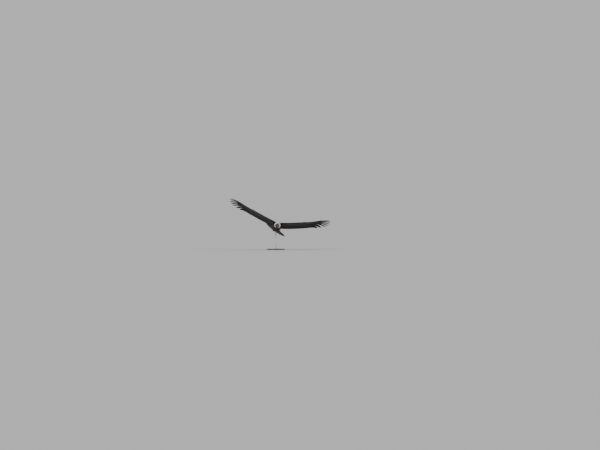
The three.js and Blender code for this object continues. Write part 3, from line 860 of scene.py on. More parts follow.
def thigh_feathers(side):
    roots, lengths = [], []
    y, k = 24.0, 0
    while y < 214:
        size = np.interp(y, [20, 120, 215], [46, 50, 34])
        number = max(int(2 * np.pi * thigh_half(y) / (size * 0.30)), 5)
        angle = (np.arange(number) + 0.5 * (k % 2)) * 2 * np.pi / number
        roots.append(np.stack([np.full(number, y) + rng.normal(0, 2, number), angle], -1))
        lengths.append(size * rng.normal(1, 0.08, number))
        y += size * 0.22
        k += 1
    roots, lengths = np.vstack(roots), np.concatenate(lengths)
    lines = round_body(roots, lengths, SMALL_STATIONS, lambda y: np.maximum(thigh_half(y), 12))

    def off(t, s, lateral):
        return -6 + 8 * t

    chart = partial(thigh_point, side=side)
    return tufts(chart, lines, roots[:, ::-1], lengths, 0.24 * lengths, SMALL_STATIONS, off, cup=0.10)


# Tail

TAIL_FEATHER_HALF = profile((0, 9), (0.3, 22), (0.6, 33), (0.86, 38), (0.95, 33), (0.985, 21), (1, 7))


def tail_flesh(x, y):
    share = np.clip((np.hypot(x, y) - TAIL_QUILL) / (TAIL_RADIUS - TAIL_QUILL), 0, 1)
    return TAIL_THICK + (1.1 - TAIL_THICK) * share**0.6


def tail_feathers():
    angle = np.linspace(-TAIL_SPREAD, TAIL_SPREAD, TAIL_FEATHERS)
    reach = TAIL_RADIUS - TAIL_ROUNDING * (angle / TAIL_SPREAD) ** 2
    root = TAIL_QUILL * np.stack([np.sin(angle), np.cos(angle)], -1)
    middle, across = straight(root, angle, reach - TAIL_QUILL, FLIGHT_STATIONS)
    half = TAIL_FEATHER_HALF(FLIGHT_STATIONS)[None]
    webs = [half * splits(TAIL_FEATHERS, FLIGHT_STATIONS, 0.04, 0.2) for _ in range(2)]
    outer = np.sign(angle)[:, None, None]
    layer = -0.3 * np.abs(np.arange(TAIL_FEATHERS) - (TAIL_FEATHERS - 1) / 2)[:, None, None]

    def off(t, s, lateral):
        return TILT * lateral * outer + layer * (1 - t)

    shaft = (2.4 * (1 - 0.85 * FLIGHT_STATIONS))[None, :, None]
    made = blades(tail_point, middle, across, *webs, FLIGHT_STATIONS, off, FLIGHT_SIDES, shaft, cup=0.03)
    return made, reach


def tail_coverts(face):
    roots, headings, lengths = [], [], []
    for k, r in enumerate(np.arange(22, 205, 13)):
        size = np.interp(r, [22, 205], [78, 118])
        number = max(int(2.3 * TAIL_SPREAD * r / (size * 0.16)), 6)
        angle = (np.linspace(-1.12, 1.12, number) + (k % 2) * 1.1 / number) * TAIL_SPREAD
        angle = angle + rng.normal(0, 0.012, number)
        roots.append(r * np.stack([np.sin(angle), np.cos(angle)], -1) + rng.normal(0, 2.5, (number, 2)))
        headings.append(angle * 0.9 + rng.normal(0, rad(3), number))
        lengths.append(size * rng.normal(1, 0.08, number))
    root, heading, length = np.vstack(roots), np.concatenate(headings), np.concatenate(lengths)
    lines = straight(root, heading, length, COVERT_STATIONS)

    def chart(x, y, off):
        return tail_point(x, y, face * (tail_flesh(x, y) + off))

    y = TAIL_ROOT + root[:, 1]
    beside = np.abs(root[:, 0]) / np.maximum(trunk_half(y), 1)
    rump = (trunk_up if face > 0 else trunk_down)(y) * np.sqrt(np.maximum(1 - beside**2, 0))
    rump = (np.maximum(rump - BODY_COAT, 0) * smooth(rad(50), rad(25), np.abs(heading)))[:, None, None]

    def off(t, s, lateral):
        return -3 + 5 * t + rump * (1 - t) ** 0.8

    return tufts(chart, lines, root, length, 0.2 * length, COVERT_STATIONS, off, cup=0.09)


# Ruff: a ring of white down over a soft core

ruff_radius = profile((0, 64), (90, 62), (152, 58))
ruff_radial = profile((0, 25), (90, 25), (130, 21), (152, 11))
ruff_axial = profile((0, 30), (90, 29), (130, 24), (152, 13))
RUFF_REACH = math.pi - RUFF_OPENING
RUFF_MIDDLE = 64
RUFF_GIRTH = 27


def ruff_point(a, b, off):
    """A place on the collar: a turns round the neck from above it,
    b round the collar from its outer edge to its back."""
    around = np.abs(np.degrees(a))
    out = ruff_radius(around) + (ruff_radial(around) + off) * np.cos(b)
    along = (ruff_axial(around) + off) * np.sin(b)
    return moved(np.stack([np.sin(a) * out, along, np.cos(a) * out], -1), RUFF)


def ruff_core():
    turns = np.linspace(-RUFF_REACH, RUFF_REACH, 150)
    a, b = np.meshgrid(turns, full_turn(48), indexing="ij")
    lumps = 1.6 * np.sin(17 * a + 2 * np.sin(3 * b)) * np.sin(4 * b + 1.5 * np.sin(5 * a))
    fade = np.clip((RUFF_REACH - np.abs(a)) / 0.12, 0, 1) ** 0.5
    return loft(ruff_point(a, b, -6.5 + lumps - 6 * (1 - fade)))


def ruff_down(count):
    a = rng.uniform(-RUFF_REACH, RUFF_REACH, count * 3)
    b = rng.uniform(-np.pi, np.pi, count * 3)
    dense = RUFF_MIDDLE + RUFF_GIRTH * np.cos(b) > rng.uniform(0, RUFF_MIDDLE + RUFF_GIRTH, len(a))
    a, b = a[dense][:count], b[dense][:count]
    length = rng.uniform(13, 27, len(a)) * np.clip((RUFF_REACH - np.abs(a)) / 0.3, 0.5, 1)
    heading = rng.normal(0, rad(26), len(a))
    root = np.stack([a * RUFF_MIDDLE, b * RUFF_GIRTH], -1)
    lines = straight(root, heading, length, SMALL_STATIONS, bow=rng.normal(0, 3.2, len(a)))
    half = rng.uniform(0.45, 1.25, len(a))
    lift = rng.uniform(4, 9.5, len(a))[:, None, None]

    def chart(u, v, off):
        around = np.clip(u / RUFF_MIDDLE, -RUFF_REACH - 0.1, RUFF_REACH + 0.1)
        return ruff_point(around, v / RUFF_GIRTH, off)

    def off(t, s, lateral):
        return -8.5 + lift * t**0.8

    return tufts(chart, lines, root, length, half, SMALL_STATIONS, off, cup=0.3, thick=0.6)


# Head

head_half = profile(
    (-70, 12.2), (-60, 13.6), (-48, 15.8), (-32, 21), (-15, 26.5), (8, 29), (30, 26), (46, 18), (54, 7),
)
head_up = profile(
    (-70, 16.8), (-60, 18.2), (-48, 19.4), (-32, 22), (-12, 26), (10, 27), (32, 22), (46, 14), (54, 5),
)
head_down = profile(
    (-70, 20.5), (-60, 21.8), (-48, 22.6), (-32, 24), (-12, 27), (10, 30), (32, 27), (46, 19), (54, 6),
)
neck_half = profile((-345, 24), (-325, 29), (-290, 33), (-250, 38), (-200, 50))
neck_up = profile((-345, 20), (-325, 27), (-290, 34), (-250, 40), (-200, 50))
neck_down = profile((-345, 22), (-325, 31), (-290, 38), (-250, 46), (-200, 62))
neck_mid = profile((-345, -58), (-300, -48), (-250, -32), (-200, -22))


def head_ring(y, off=0.0, **shape):
    """A ring round the head, or the places at these angles, this far off its surface."""
    return oval(y, head_half(y) + off, head_up(y) + off, head_down(y) + off, **shape)


def neck_ring(y, off=0.0, **shape):
    return oval(y, neck_half(y) + off, neck_up(y) + off, neck_down(y) + off, z=neck_mid(y), **shape)


def slab(y, half, top, bottom, square=2.2, count=64):
    """An upright ring between two heights, and how far up it each place is: from 0 to 1."""
    tall = (top - bottom) / 2
    ring = oval(y, half, tall, tall, z=bottom + tall, square=square, count=count)
    return ring, (ring[:, 2] - bottom) / (2 * tall)


def grained(places, scale, seed):
    """Smooth noise at each place, from -1 to 1. scale gives its grain along each axis, per millimetre."""
    grain = (places * np.asarray(scale, float) + seed).tolist()
    return np.array([noise.noise(Vector(p)) for p in grain])


BRISTLES = 900
LID_WIDE = rad(47)
LID_TALL = rad(36)


def eye_axes(side):
    look = unit(np.array([side * 1.0, -0.3, 0.05]))
    level = unit(np.cross([0, 0, 1], look))
    return look, level, np.cross(look, level)


def eye_place(side):
    return np.array([side * EYE_AT[0], EYE_AT[1], EYE_AT[2]])


def lid_opening(turned):
    """How far the lids' edge is from the eye's axis, in the direction turned round it."""
    return 1 / np.sqrt((np.cos(turned) / LID_WIDE) ** 2 + (np.sin(turned) / LID_TALL) ** 2)


def around_eye(p, side):
    """Distance from the eye's middle, and how many openings of the lids away from its axis."""
    look, level, up = eye_axes(side)
    d = p - eye_place(side)
    reach = np.linalg.norm(d, axis=1)
    off_axis = np.arccos(np.clip(d @ look / reach, -1, 1))
    return d, reach, off_axis / lid_opening(np.arctan2(d @ up, d @ level))


def lid(side, radius, opening, thick):
    """The rolled edge of the eyelids."""
    look, level, up = eye_axes(side)
    turned = full_turn(72)
    ray = directions(look, directions(level, up, turned), lid_opening(turned) * opening)
    away = unit(ray - (ray @ look)[:, None] * look)
    heavy = thick * (1 + 0.35 * np.clip(np.sin(turned), 0, 1) + 0.06 * np.sin(11 * turned))
    rolled = directions(ray[:, None], away[:, None], full_turn(12))
    rings = (eye_place(side) + radius * ray)[:, None] + heavy[:, None, None] * rolled
    count, around = rings.shape[:2]
    r, i = np.meshgrid(np.arange(count), np.arange(around), indexing="ij")
    s, j = (r + 1) % count, (i + 1) % around
    faces = np.stack([r * around + i, r * around + j, s * around + j, s * around + i], -1).reshape(-1, 4)
    points = rings.reshape(-1, 3)
    return points, outward(points, faces)


def head_skin():
    """Bare skin of the head and neck: lids, brows, gape, ears, folds down the neck and creases all over."""
    skull = loft([head_ring(y, count=48) for y in np.linspace(-70, 54, 60)])
    throat = loft([neck_ring(y, count=48) for y in np.linspace(-345, -200, 50)])
    points, faces, normals = remeshed("head_block", [(moved(skull[0], HEAD), skull[1]), throat], 1.3)
    p = moved(points, np.linalg.inv(HEAD))
    out = normals @ HEAD[:3, :3]
    x, y, z = p.T
    wide = np.abs(x)
    warp = grained(p, 0.045, 3.1)
    fine = grained(p, 0.22, 8.7)
    grit = grained(p, 0.6, 1.9)
    on_neck = smooth(28, 62, y)
    behind = smooth(-8, 34, y)

    # Folds down the neck, and creases all over
    folds = np.abs(np.sin(np.pi * (y + 9 * warp + 2.2 * fine - 0.12 * z) / 8.5)) ** 0.65
    rise = (folds - 0.6) * (2.6 * on_neck + 0.35 * behind)
    creases = 1 - np.abs(grained(p, (0.16, 0.07, 0.2), 5.2)) * 2.4
    rise += np.clip(creases, 0, 1) ** 2 * -0.9 * (0.5 + 0.5 * behind) + 0.25 * fine + 0.12 * grit
    # The brow, and the hollow under it
    rise += 1.9 * bump(y + 17, 11) * bump(z - 19.5 + 0.1 * y, 3.6) * smooth(8, 15, wide)
    rise -= 1.2 * bump(y + 17, 12) * bump(z - 14.8, 2.0) * smooth(12, 18, wide)
    # The line of the gape between its lips, and three creases below it
    gape = -7.5 - 0.10 * (y + 60) - 4.5 * smooth(-30, -14, y)
    in_gape = smooth(-16, -24, y)
    rise -= 2.4 * in_gape * bump(z - gape, 1.1)
    rise += 1.0 * in_gape * (bump(z - gape - 3.0, 1.7) + 1.2 * bump(z - gape + 3.2, 1.9))
    for k, start in enumerate((-20, -27, -33)):
        line = gape - 6 - 3.6 * k - 0.15 * (y - start)
        rise -= 0.8 * bump(z - line + 1.5 * warp, 0.9) * bump(y + 18 - 6 * k, 18)
    # The ear, the lappets that hang behind the cheek, and the edge of the cere
    ear = np.hypot((y - 17) / 1.25, z + 3)
    on_side = smooth(14, 20, wide)
    rise += on_side * (0.9 * bump(ear - 5.2, 1.4) - 3.2 * bump(ear, 2.8))
    lappet = -13 + 4.5 * np.sin((y + 12) / 13) - 0.28 * np.clip(y, 0, 80)
    lobe = 3.0 * smooth(-12, 4, y) * smooth(78, 50, y) * bump(z - lappet - 2.5 * warp, 3.3)
    rise += lobe * (0.85 + 0.3 * fine) * on_side
    rise += 2.2 * smooth(-6, 12, y) * bump(z - lappet + 8.5 - 3 * warp, 2.6) * on_side * smooth(84, 56, y)
    cere = smooth(-46, -54, y)
    rise -= 0.5 * bump(y + 50 + 1.2 * fine, 1.2)
    rise *= 1 - 0.4 * cere
    p = p + out * rise[:, None]

    # Lids that close round each eyeball, with a few wrinkles
    for _, side in SIDES:
        d, reach, q = around_eye(p, side)
        near = smooth(2.15, 1.3, q) * (d @ eye_axes(side)[0] > 0)
        wrinkles = 0.3 * np.cos(2 * np.pi * (q - 1.2) / 0.26) * smooth(1.15, 1.3, q)
        rim = EYE_RADIUS - 1.4 + 2.3 * smooth(0.9, 1.06, q) + wrinkles
        new = reach + (rim - reach) * near
        p = p + d * ((new / reach - 1) * (q < 2.2))[:, None]

    dark = np.clip(0.88 + 0.3 * warp - 0.66 * on_neck + 0.25 * smooth(12, 24, z) + 0.2 * cere, 0, 1)
    # Painted shade: darker the deeper the skin is pushed in, in its folds and creases.
    hollow_shade = np.clip(-rise * 0.45, 0, 1)
    red = np.clip(0.35 * on_neck + 0.5 * bump(z - lappet, 9) * on_side * behind + 0.3 * fine, 0, 1)
    solids = [(moved(p, HEAD), faces, dark, red, hollow_shade)]
    for _, side in SIDES:
        for radius, opening, thick in ((8.45, 0.98, 0.62), (8.75, 1.22, 0.75)):
            rim_points, rim_faces = lid(side, radius, opening, thick)
            fields = (np.full(len(rim_points), value) for value in (0.95, 0.12, 0.0))
            solids.append((moved(rim_points, HEAD), rim_faces, *fields))
    return solids


def bristles(count):
    """Short dark bristles on the lores, crown and chin, each a thin three-sided spike."""
    y = rng.uniform(-62, 44, count)
    angle = rng.uniform(0, 2 * np.pi, count)
    root = head_ring(y, -0.6, angle=angle)
    away = unit(head_ring(y, 4.0, angle=angle) - root)
    clear = np.ones(count, bool)
    for _, side in SIDES:
        _, reach, q = around_eye(root, side)
        clear &= (q > 1.6) | (reach > 14)
    clear &= (np.abs(root[:, 0]) > 7.5) | (root[:, 2] < 0) | (y > 24)
    clear &= rng.random(count) < smooth(50, -10, y) * 0.8 + 0.1
    root, away, y, angle = root[clear], away[clear], y[clear], angle[clear]
    count = len(root)
    lie = unit(away * 0.55 + np.array([0, 1, 0]) * 0.8 + rng.normal(0, 0.16, (count, 3)))
    length = rng.uniform(2.5, 6.0, count)[:, None]
    one = unit(np.cross(lie, away))
    two = np.cross(lie, one)
    thick = 0.16
    corners = [root + thick * (math.cos(a) * one + math.sin(a) * two) for a in (0, rad(120), rad(240))]
    points = np.stack([*corners, root + lie * length], 1)
    shape = np.array([[2, 1, 0, -1], [0, 1, 3, -1], [1, 2, 3, -1], [2, 0, 3, -1]])
    faces = shifted(shape, 4 * np.arange(count)[:, None, None]).reshape(-1, 4)
    points = moved(points.reshape(-1, 3), HEAD)
    faces = outward(points, faces)
    uv = spread(angle, y)
    corner_uv = np.array([[-0.5, 0], [0.5, 0], [0, -0.5], [0, 0.5]]) * PATCH
    bake = (uv[:, None] + corner_uv).reshape(-1, 2)[corner_vertices(faces)]
    return points, faces, bake


def crop_skin():
    """The bare crop: loose skin over the lower breast, in folds."""
    ahead = np.linspace(0, 1, CROP_ROWS)[:, None] ** 2
    y = -240 + 138 * ahead
    angle = -np.pi / 2 + np.linspace(-1.15, 1.15, CROP_ROWS)[None]
    over, under = (trunk_point(y + 0 * angle, angle + 0 * y, off) for off in (-1.0, -12.0))
    away = unit(over - under)
    flat = over.reshape(-1, 3)
    warp = grained(flat, 0.03, 5.5)
    folds = np.abs(np.sin(np.pi * (flat[:, 2] + 0.25 * np.abs(flat[:, 0]) + 16 * warp) / 9.5)) ** 0.7
    pleats = np.clip(1 - np.abs(grained(flat, (0.10, 0.05, 0.035), 8.8)) * 3, 0, 1) ** 2
    inside = smooth(1.35, 0.8, from_crop(flat))
    rough = 0.5 * grained(flat, 0.2, 3.3) + 0.2 * grained(flat, 0.6, 1.3)
    rise = inside * (1.2 + 2.0 * (folds - 0.5) - 1.6 * pleats + rough)
    over = over + away * (rise - 7 * (1 - inside)).reshape(over.shape[:2])[..., None]
    points, faces = loft(np.concatenate([over, under[:, ::-1]], 1))
    # Painted shade: the crop is darker down its folds and pleats.
    hollow_shade = np.clip(np.clip(0.45 - folds, 0, 1) + 0.6 * pleats, 0, 1)
    dark = 0.28 + 0.4 * warp + 0.4 * (1 - inside)
    fields = [
        np.concatenate([value.reshape(over.shape[:2]), 0 * over[..., 0]], 1).ravel()
        for value in (dark, 0.45 + 0.3 * warp, hollow_shade)
    ]
    return points, faces, *fields


def comb_shape():
    """The male's fleshy comb: a thick upright lobe from the cere to the crown, wavy along its edge."""
    top = profile((-72, 18), (-69, 31), (-62, 42), (-46, 50), (-24, 53), (-4, 48), (12, 37), (22, 24))
    half = profile((-72, 3.5), (-60, 6.6), (-30, 7.4), (0, 6.2), (22, 2.8))
    foot = 10
    rings = []
    for y in np.linspace(-72, 22, 110):
        ring, rise = slab(y, half(y), top(y), foot, 2.5, 60)
        waist = 1 - 0.30 * bump(rise - 0.52, 0.24) + 0.16 * bump(rise - 0.86, 0.14)
        ring[:, 0] = ring[:, 0] * waist + 1.7 * np.sin(y / 8.5) * smooth(0.45, 1, rise)
        rings.append(ring)
    points, faces = loft(rings)
    lumps = 0.9 * grained(points, (0.10, 0.11, 0.13), 4.4)
    lumps += 0.55 * grained(points, 0.28, 7.7) + 0.25 * grained(points, 0.7, 2.2)
    creases = np.clip(1 - np.abs(grained(points, (0.1, 0.17, 0.07), 9.9)) * 3, 0, 1) ** 2
    middle = np.stack([0 * points[:, 0], points[:, 1], foot + (points[:, 2] - foot) * 0.8], -1)
    return points + unit(points - middle) * (lumps - 0.9 * creases)[:, None], faces, creases


def wattle_shape():
    bottom = profile((-40, -25), (-28, -41), (-12, -49), (6, -46), (22, -36))
    half = profile((-40, 2.6), (-20, 5.2), (22, 3.8))
    head_underside = -16
    rings = []
    for y in np.linspace(-40, 24, 70):
        ring, rise = slab(y, half(y), head_underside, bottom(y), count=44)
        ring[:, 0] += 1.5 * np.sin(y / 6.5 + 1.2) * smooth(0.3, 1, 1 - rise)
        rings.append(ring)
    points, faces = loft(rings)
    folds = np.abs(np.sin(np.pi * (points[:, 1] + 5 * grained(points, 0.05, 6.6)) / 6.5)) ** 0.7
    push = (folds - 0.6) * 1.3 + 0.4 * grained(points, 0.3, 1.1)
    points[:, 0] += np.sign(points[:, 0]) * push
    # The last is painted shade: darker down the pushed-in folds.
    return points, faces, np.clip(0.6 - folds, 0, 1)


bill_top = profile((-109, -19), (-106, -7), (-101, 3), (-94, 10), (-84, 14.5), (-70, 16), (-50, 18))
bill_edge = profile((-109, -27), (-102, -25), (-95, -15), (-88, -8.5), (-70, -7), (-50, -6))
bill_half = profile((-109, 2), (-102, 5), (-92, 8.5), (-75, 11), (-50, 14.5))
jaw_bottom = profile((-90, -13), (-80, -17), (-60, -21), (-40, -23))
jaw_top = profile((-90, -8), (-84, -5.5), (-40, -3))
jaw_half = profile((-90, 3.5), (-80, 7.5), (-60, 10.5), (-40, 13))
NOSTRIL_AT = (-73.5, 6.5)
IVORY_AT = -82
IVORY_FADE = 22


def from_nostril(places, half_length, half_height):
    """How far places are from the nostril's middle: 1 at an edge with these half sizes."""
    along, up = NOSTRIL_AT
    return np.hypot((places[:, 1] - along) / half_length, (places[:, 2] - up) / half_height)


def bill_shapes():
    """Upper bill with its hook, nostrils and cutting edge, and the lower bill with its groove."""
    rings = []
    for y in -50 - 59 * np.sin(np.linspace(0, np.pi / 2, 90)):
        ring, low = slab(y, bill_half(y), bill_top(y), bill_edge(y), 2.15)
        ring[:, 0] *= 1 + 0.07 * bump(low - 0.1, 0.08) - 0.06 * bump(low - 0.3, 0.14)
        hole = from_nostril(ring, 5.0, 2.3)
        ring[:, 0] -= np.sign(ring[:, 0]) * (3.6 * bump(hole, 0.8) - 0.35 * bump(hole - 1.35, 0.35))
        rings.append(ring)
    upper = loft(rings)
    rings = []
    for y in np.linspace(-90, -40, 60):
        ring, low = slab(y, jaw_half(y), jaw_top(y), jaw_bottom(y), 2.3, 48)
        ring[:, 0] *= 1 + 0.06 * bump(low - 0.85, 0.1) - 0.05 * bump(low - 0.62, 0.1)
        rings.append(ring)
    return upper, loft(rings)


def eyeball(side):
    look, level, up = eye_axes(side)
    tilt = np.r_[np.linspace(0.02, 1.0, 44), np.linspace(1.05, np.pi - 0.02, 24)]
    turned = full_turn(64)
    bulge = 0.45 * smooth(0.86, 0.5, tilt)
    rays = directions(look, directions(level, up, turned), tilt[:, None])
    points, faces = loft((EYE_RADIUS + bulge)[:, None, None] * rays + eye_place(side))
    return points, faces, np.repeat(tilt, len(turned)), np.tile(turned, len(tilt))


# Legs

TOES = {
    "inner": ((-20, 60, 2), 6.2),
    "middle": ((-3, 96, 12), 7.2),
    "outer": ((19, 70, 3), 6.0),
    "hind": ((-12, 26, -22), 5.0),
}
FOOT_AT = (46.5, 328, -64)
CLAW_LENGTH = 19
shank_thick = profile((0, 11), (0.15, 10), (0.5, 7.5), (0.85, 8.5), (1, 9.5))


def limb(points, radius, along, around):
    """A round limb along a curve through three points. radius(t, turned) is its size along and round it."""
    a, b, c = np.asarray(points, float)
    t = np.linspace(0, 1, along)[:, None]
    share = np.linalg.norm(b - a) / (np.linalg.norm(b - a) + np.linalg.norm(c - b))
    control = (b - a * (1 - share) ** 2 - c * share**2) / (2 * share * (1 - share))
    middle = a * (1 - t) ** 2 + 2 * control * t * (1 - t) + c * t**2
    run = unit(np.gradient(middle, axis=0))
    across = unit(np.cross(run, [0, 0, 1]))
    turned = full_turn(around)[None]
    rays = directions(across[:, None], np.cross(across, run)[:, None], turned)
    return loft(middle[:, None] + radius(t, turned)[..., None] * rays)


def scutes(t, turned, length, pitch):
    """Overlapping plates across the upper side, fading to small round scales below."""
    on_top = smooth(-0.2, 0.5, np.sin(turned))
    step = (t * length / pitch) % 1
    plate = (step**0.5 - 0.6) * on_top
    return plate + 0.5 * (1 - on_top) * np.sin(9 * turned + 3) * np.sin(2 * np.pi * t * length / 2.6)


def toe_point(side, out, back, up):
    return np.array([side * (FOOT_AT[0] + out), FOOT_AT[1] + back, FOOT_AT[2] + up])


def toe(side, end, thick):
    end = np.array(end, float)
    reach = float(np.linalg.norm(end))
    shares = ((0, 1.1), (0.5, 1), (0.8, 0.85), (0.97, 0.72), (1, 0.45))
    size = profile(*((at, thick * share) for at, share in shares))
    halfway = end * (0.55, 0.5, 0.5) - (0, 0, 5)
    joints = max(round(reach / 24), 1)

    def radius(t, turned):
        pads = 1 + 0.13 * np.sin(np.pi * t * joints) ** 2 * smooth(0.1, -0.7, np.sin(turned)) * 1.6
        return size(t) * pads + 0.42 * scutes(t, turned, reach, 4.2)

    return limb([toe_point(side, *place) for place in ((0, 0, 0), halfway, end)], radius, 70, 28)


def claw(side, end, thick):
    end = np.array(end, float)
    reach = float(np.linalg.norm(end))
    size = profile((0, thick * 0.55), (0.12, thick * 0.62), (0.6, thick * 0.4), (1, 0.6))

    def beyond(length, drop):
        return toe_point(side, *(end * (1 + length / reach) - (0, 0, drop)))

    def radius(t, turned):
        return size(t) * (1 - 0.16 * smooth(0, -1, np.sin(turned)))

    return limb([beyond(-2.5, 0), beyond(CLAW_LENGTH * 0.5, 0.8), beyond(CLAW_LENGTH, 8)], radius, 26, 20)


def leg(side):
    knee, heel, ankle = ([side * 51, 196, -82], [side * 49, 250, -78], [side * 47, 318, -66])

    def radius(t, turned):
        return shank_thick(t) + 0.5 * scutes(t, turned, 126, 6.5)

    return limb([knee, heel, ankle], radius, 150, 36)


# Body skin


def arm_flesh(side):
    rings = []
    shares = np.r_[np.linspace(0.012, 0.2, 12), np.linspace(0.26, 0.5, 6)]
    for out in np.linspace(60, 880, 60):
        back = lead(out) + shares * chord_at(out)
        upper, under = (
            wing_point(out, back, face * np.maximum(flesh(out, back, face) - WING_COAT, 0.8), side)
            for face in (1, -1)
        )
        rings.append(np.vstack([upper, under[::-1]]))
    return loft(rings)


def thigh_flesh(y, angle, side):
    half = thigh_half(y)
    down = half * 1.05 - THIGH_COAT
    half = half - THIGH_COAT
    return oval(y, half, half, down, x=side * thigh_x(y), z=thigh_z(y), angle=angle)


def body_skin():
    around, round_thigh = full_turn(40), full_turn(28)
    solids = [
        loft([trunk_point(y, around, -BODY_COAT) for y in np.linspace(-232, 400, 70)]),
        loft([neck_ring(y, -1.0, count=40) for y in np.linspace(-260, -200, 12)]),
    ]
    for _, side in SIDES:
        solids.append(arm_flesh(side))
        solids.append(loft([thigh_flesh(y, round_thigh, side) for y in np.linspace(24, 210, 40)]))
    points, faces, normals = remeshed("body_block", solids, 7)
    crop = smooth(1.5, 0.95, from_crop(points))
    points = points - normals * (crop * 2.5)[:, None]
    return points, faces, 1.3 - 1.0 * crop, crop, 0 * crop


# Finishes


class Look:
    """A material on one Principled shader. Settings are the shader's own sockets, by their names."""

    def __init__(self, name, **settings):
        self.made = bpy.data.materials.new(name)
        self.made.use_nodes = True
        self.tree = self.made.node_tree
        self.shader = self.tree.nodes["Principled BSDF"]
        for key, value in settings.items():
            self.set(key.replace("_", " "), value)

    def join(self, value, socket):
        if isinstance(value, bpy.types.NodeSocket):
            self.tree.links.new(value, socket)
        else:
            socket.default_value = value

    def set(self, key, value):
        self.join(value, self.shader.inputs[key])

    def node(self, kind, inputs=(), out=0, **settings):
        made = self.tree.nodes.new("ShaderNode" + kind)
        for key, value in settings.items():
            setattr(made, key, value)
        for key, value in dict(inputs).items():
            self.join(value, made.inputs[key])
        return made.outputs[out]

    def field(self, name):
        return self.node("Attribute", out="Fac", attribute_name=name)

    def math(self, operation, a, b=0.0, clamp=False):
        return self.node("Math", {0: a, 1: b}, operation=operation, use_clamp=clamp)

    def times(self, a, b):
        return self.math("MULTIPLY", a, b)

    def plus(self, a, b, clamp=False):
        return self.math("ADD", a, b, clamp)

    def place(self, scale=None):
        """The place on the piece, each axis stretched by this scale."""
        place = self.node("TexCoord", out="Object")
        return self.node("Mapping", {"Vector": place, "Scale": scale}) if scale else place

    def mix(self, share, a, b):
        return self.node("Mix", {0: share, 6: a, 7: b}, out=2, data_type="RGBA")

    def grain(self, scale, detail=3.0, rough=0.55, vector=None, distortion=0.0):
        inputs = {"Scale": scale, "Detail": detail, "Roughness": rough, "Distortion": distortion}
        inputs["Vector"] = vector or self.place()
        return self.node("TexNoise", inputs)

    def cells(self, scale):
        inputs = {"Vector": self.place(), "Scale": scale}
        return self.node("TexVoronoi", inputs, feature="DISTANCE_TO_EDGE")

    def span(self, value, low, high, to_low=0.0, to_high=1.0):
        inputs = {0: value, 1: low, 2: high, 3: to_low, 4: to_high}
        return self.node("MapRange", inputs, clamp=True, interpolation_type="SMOOTHSTEP")

    def relief(self, height, depth):
        """Bump of this depth, in metres."""
        return self.node("Bump", {"Height": height, "Distance": depth, "Strength": 1.0})

    def vector(self, x, y, z=0.0):
        return self.node("CombineXYZ", {0: x, 1: y, 2: z})


def grey(value, warmth=0.0):
    return (value * (1 + warmth), value, value * (1 - warmth), 1)


def plumage_look(name, dark, worn, white):
    """Vanes of barbs that run out from a shaft, dark or white by the field called pale."""
    look = Look(name, Roughness=0.5, Specular_IOR_Level=0.34, IOR=1.32)
    place = look.node("UVMap", uv_map="vane")
    split = look.tree.nodes.new("ShaderNodeSeparateXYZ")
    look.join(place, split.inputs[0])
    wide = look.math("ABSOLUTE", split.outputs[0])
    barb = look.math("SUBTRACT", split.outputs[1], look.times(wide, 1.25))
    tone = look.field("tone")
    seed = look.times(tone, 60.0)
    streaks = look.grain(1.0, 4, 0.6, look.vector(look.times(barb, 42.0), look.times(wide, 5.0), seed))
    soft = look.grain(1.0, 2, 0.5, look.vector(look.times(barb, 6.0), look.times(wide, 6.0), seed))
    pale = look.plus(look.field("pale"), look.span(streaks, 0.3, 0.7, -0.11, 0.11))
    pale = look.span(pale, 0.36, 0.62)
    aged = look.times(look.span(soft, 0.42, 0.72), look.span(tone, 0.1, 1.0, 0.15, 0.7))
    black = look.mix(aged, dark, worn)
    black = look.mix(look.span(streaks, 0.35, 0.75, 0.0, 0.35), black, grey(0.0025))
    snow = look.mix(look.span(streaks, 0.4, 0.75, 0.0, 0.55), white, grey(0.42, 0.02))
    colour = look.mix(pale, black, snow)
    shaft = look.span(wide, 0.006, 0.011, 1.0, 0.0)
    colour = look.mix(look.times(shaft, 0.8), colour, grey(0.0065, 0.15))
    look.set("Base Color", colour)
    waves = look.math("SINE", look.times(barb, 520.0))
    look.set("Normal", look.relief(look.plus(look.times(waves, 0.06), streaks), 0.0004))
    look.set("Roughness", look.span(pale, 0.0, 1.0, 0.48, 0.75))
    return look.made


def down_look():
    look = Look("white_down", Roughness=0.9, Specular_IOR_Level=0.2, Sheen_Weight=0.3, Sheen_Roughness=0.6)
    soft = look.grain(45.0, 3)
    tone = look.field("tone")
    colour = look.mix(look.span(tone, 0.0, 1.0), (0.80, 0.78, 0.73, 1), (0.70, 0.67, 0.61, 1))
    look.set("Base Color", look.mix(look.span(soft, 0.5, 0.75, 0.0, 0.5), colour, (0.60, 0.56, 0.50, 1)))
    return look.made


def skin_look(name, dark, flesh_colour, red_colour):
    """Bare skin: the fields dark and red say where it is blackish and flushed, and the third field where its
    creases and folds get painted shade.
    """
    look = Look(name, Roughness=0.5, Specular_IOR_Level=0.3, Subsurface_Weight=0.06, Subsurface_Scale=0.004)
    look.set("Subsurface Radius", (1.0, 0.35, 0.2))
    blotch = look.grain(38.0, 4, 0.6)
    pores = look.grain(620.0, 3, 0.6)
    cells = look.cells(420.0)
    darkness = look.plus(look.field("dark"), look.span(blotch, 0.3, 0.7, -0.25, 0.25))
    redness = look.plus(look.field("red"), look.span(blotch, 0.4, 0.7, -0.1, 0.25), clamp=True)
    colour = look.mix(redness, flesh_colour, red_colour)
    colour = look.mix(look.span(darkness, 0.2, 0.85), colour, dark)
    # Painted shade: the skin is darkened in its creases, folds and hollows.
    colour = look.mix(look.times(look.field("hollow_shade"), 0.75), colour, grey(0.006, 0.25))
    colour = look.mix(look.span(pores, 0.45, 0.75, 0.0, 0.3), colour, grey(0.02, 0.2))
    look.set("Base Color", colour)
    look.set("Roughness", look.span(pores, 0.3, 0.7, 0.42, 0.62))
    look.set("Normal", look.relief(look.plus(pores, look.span(cells, 0.0, 0.25, 0.0, 0.8)), 0.0003))
    return look.made


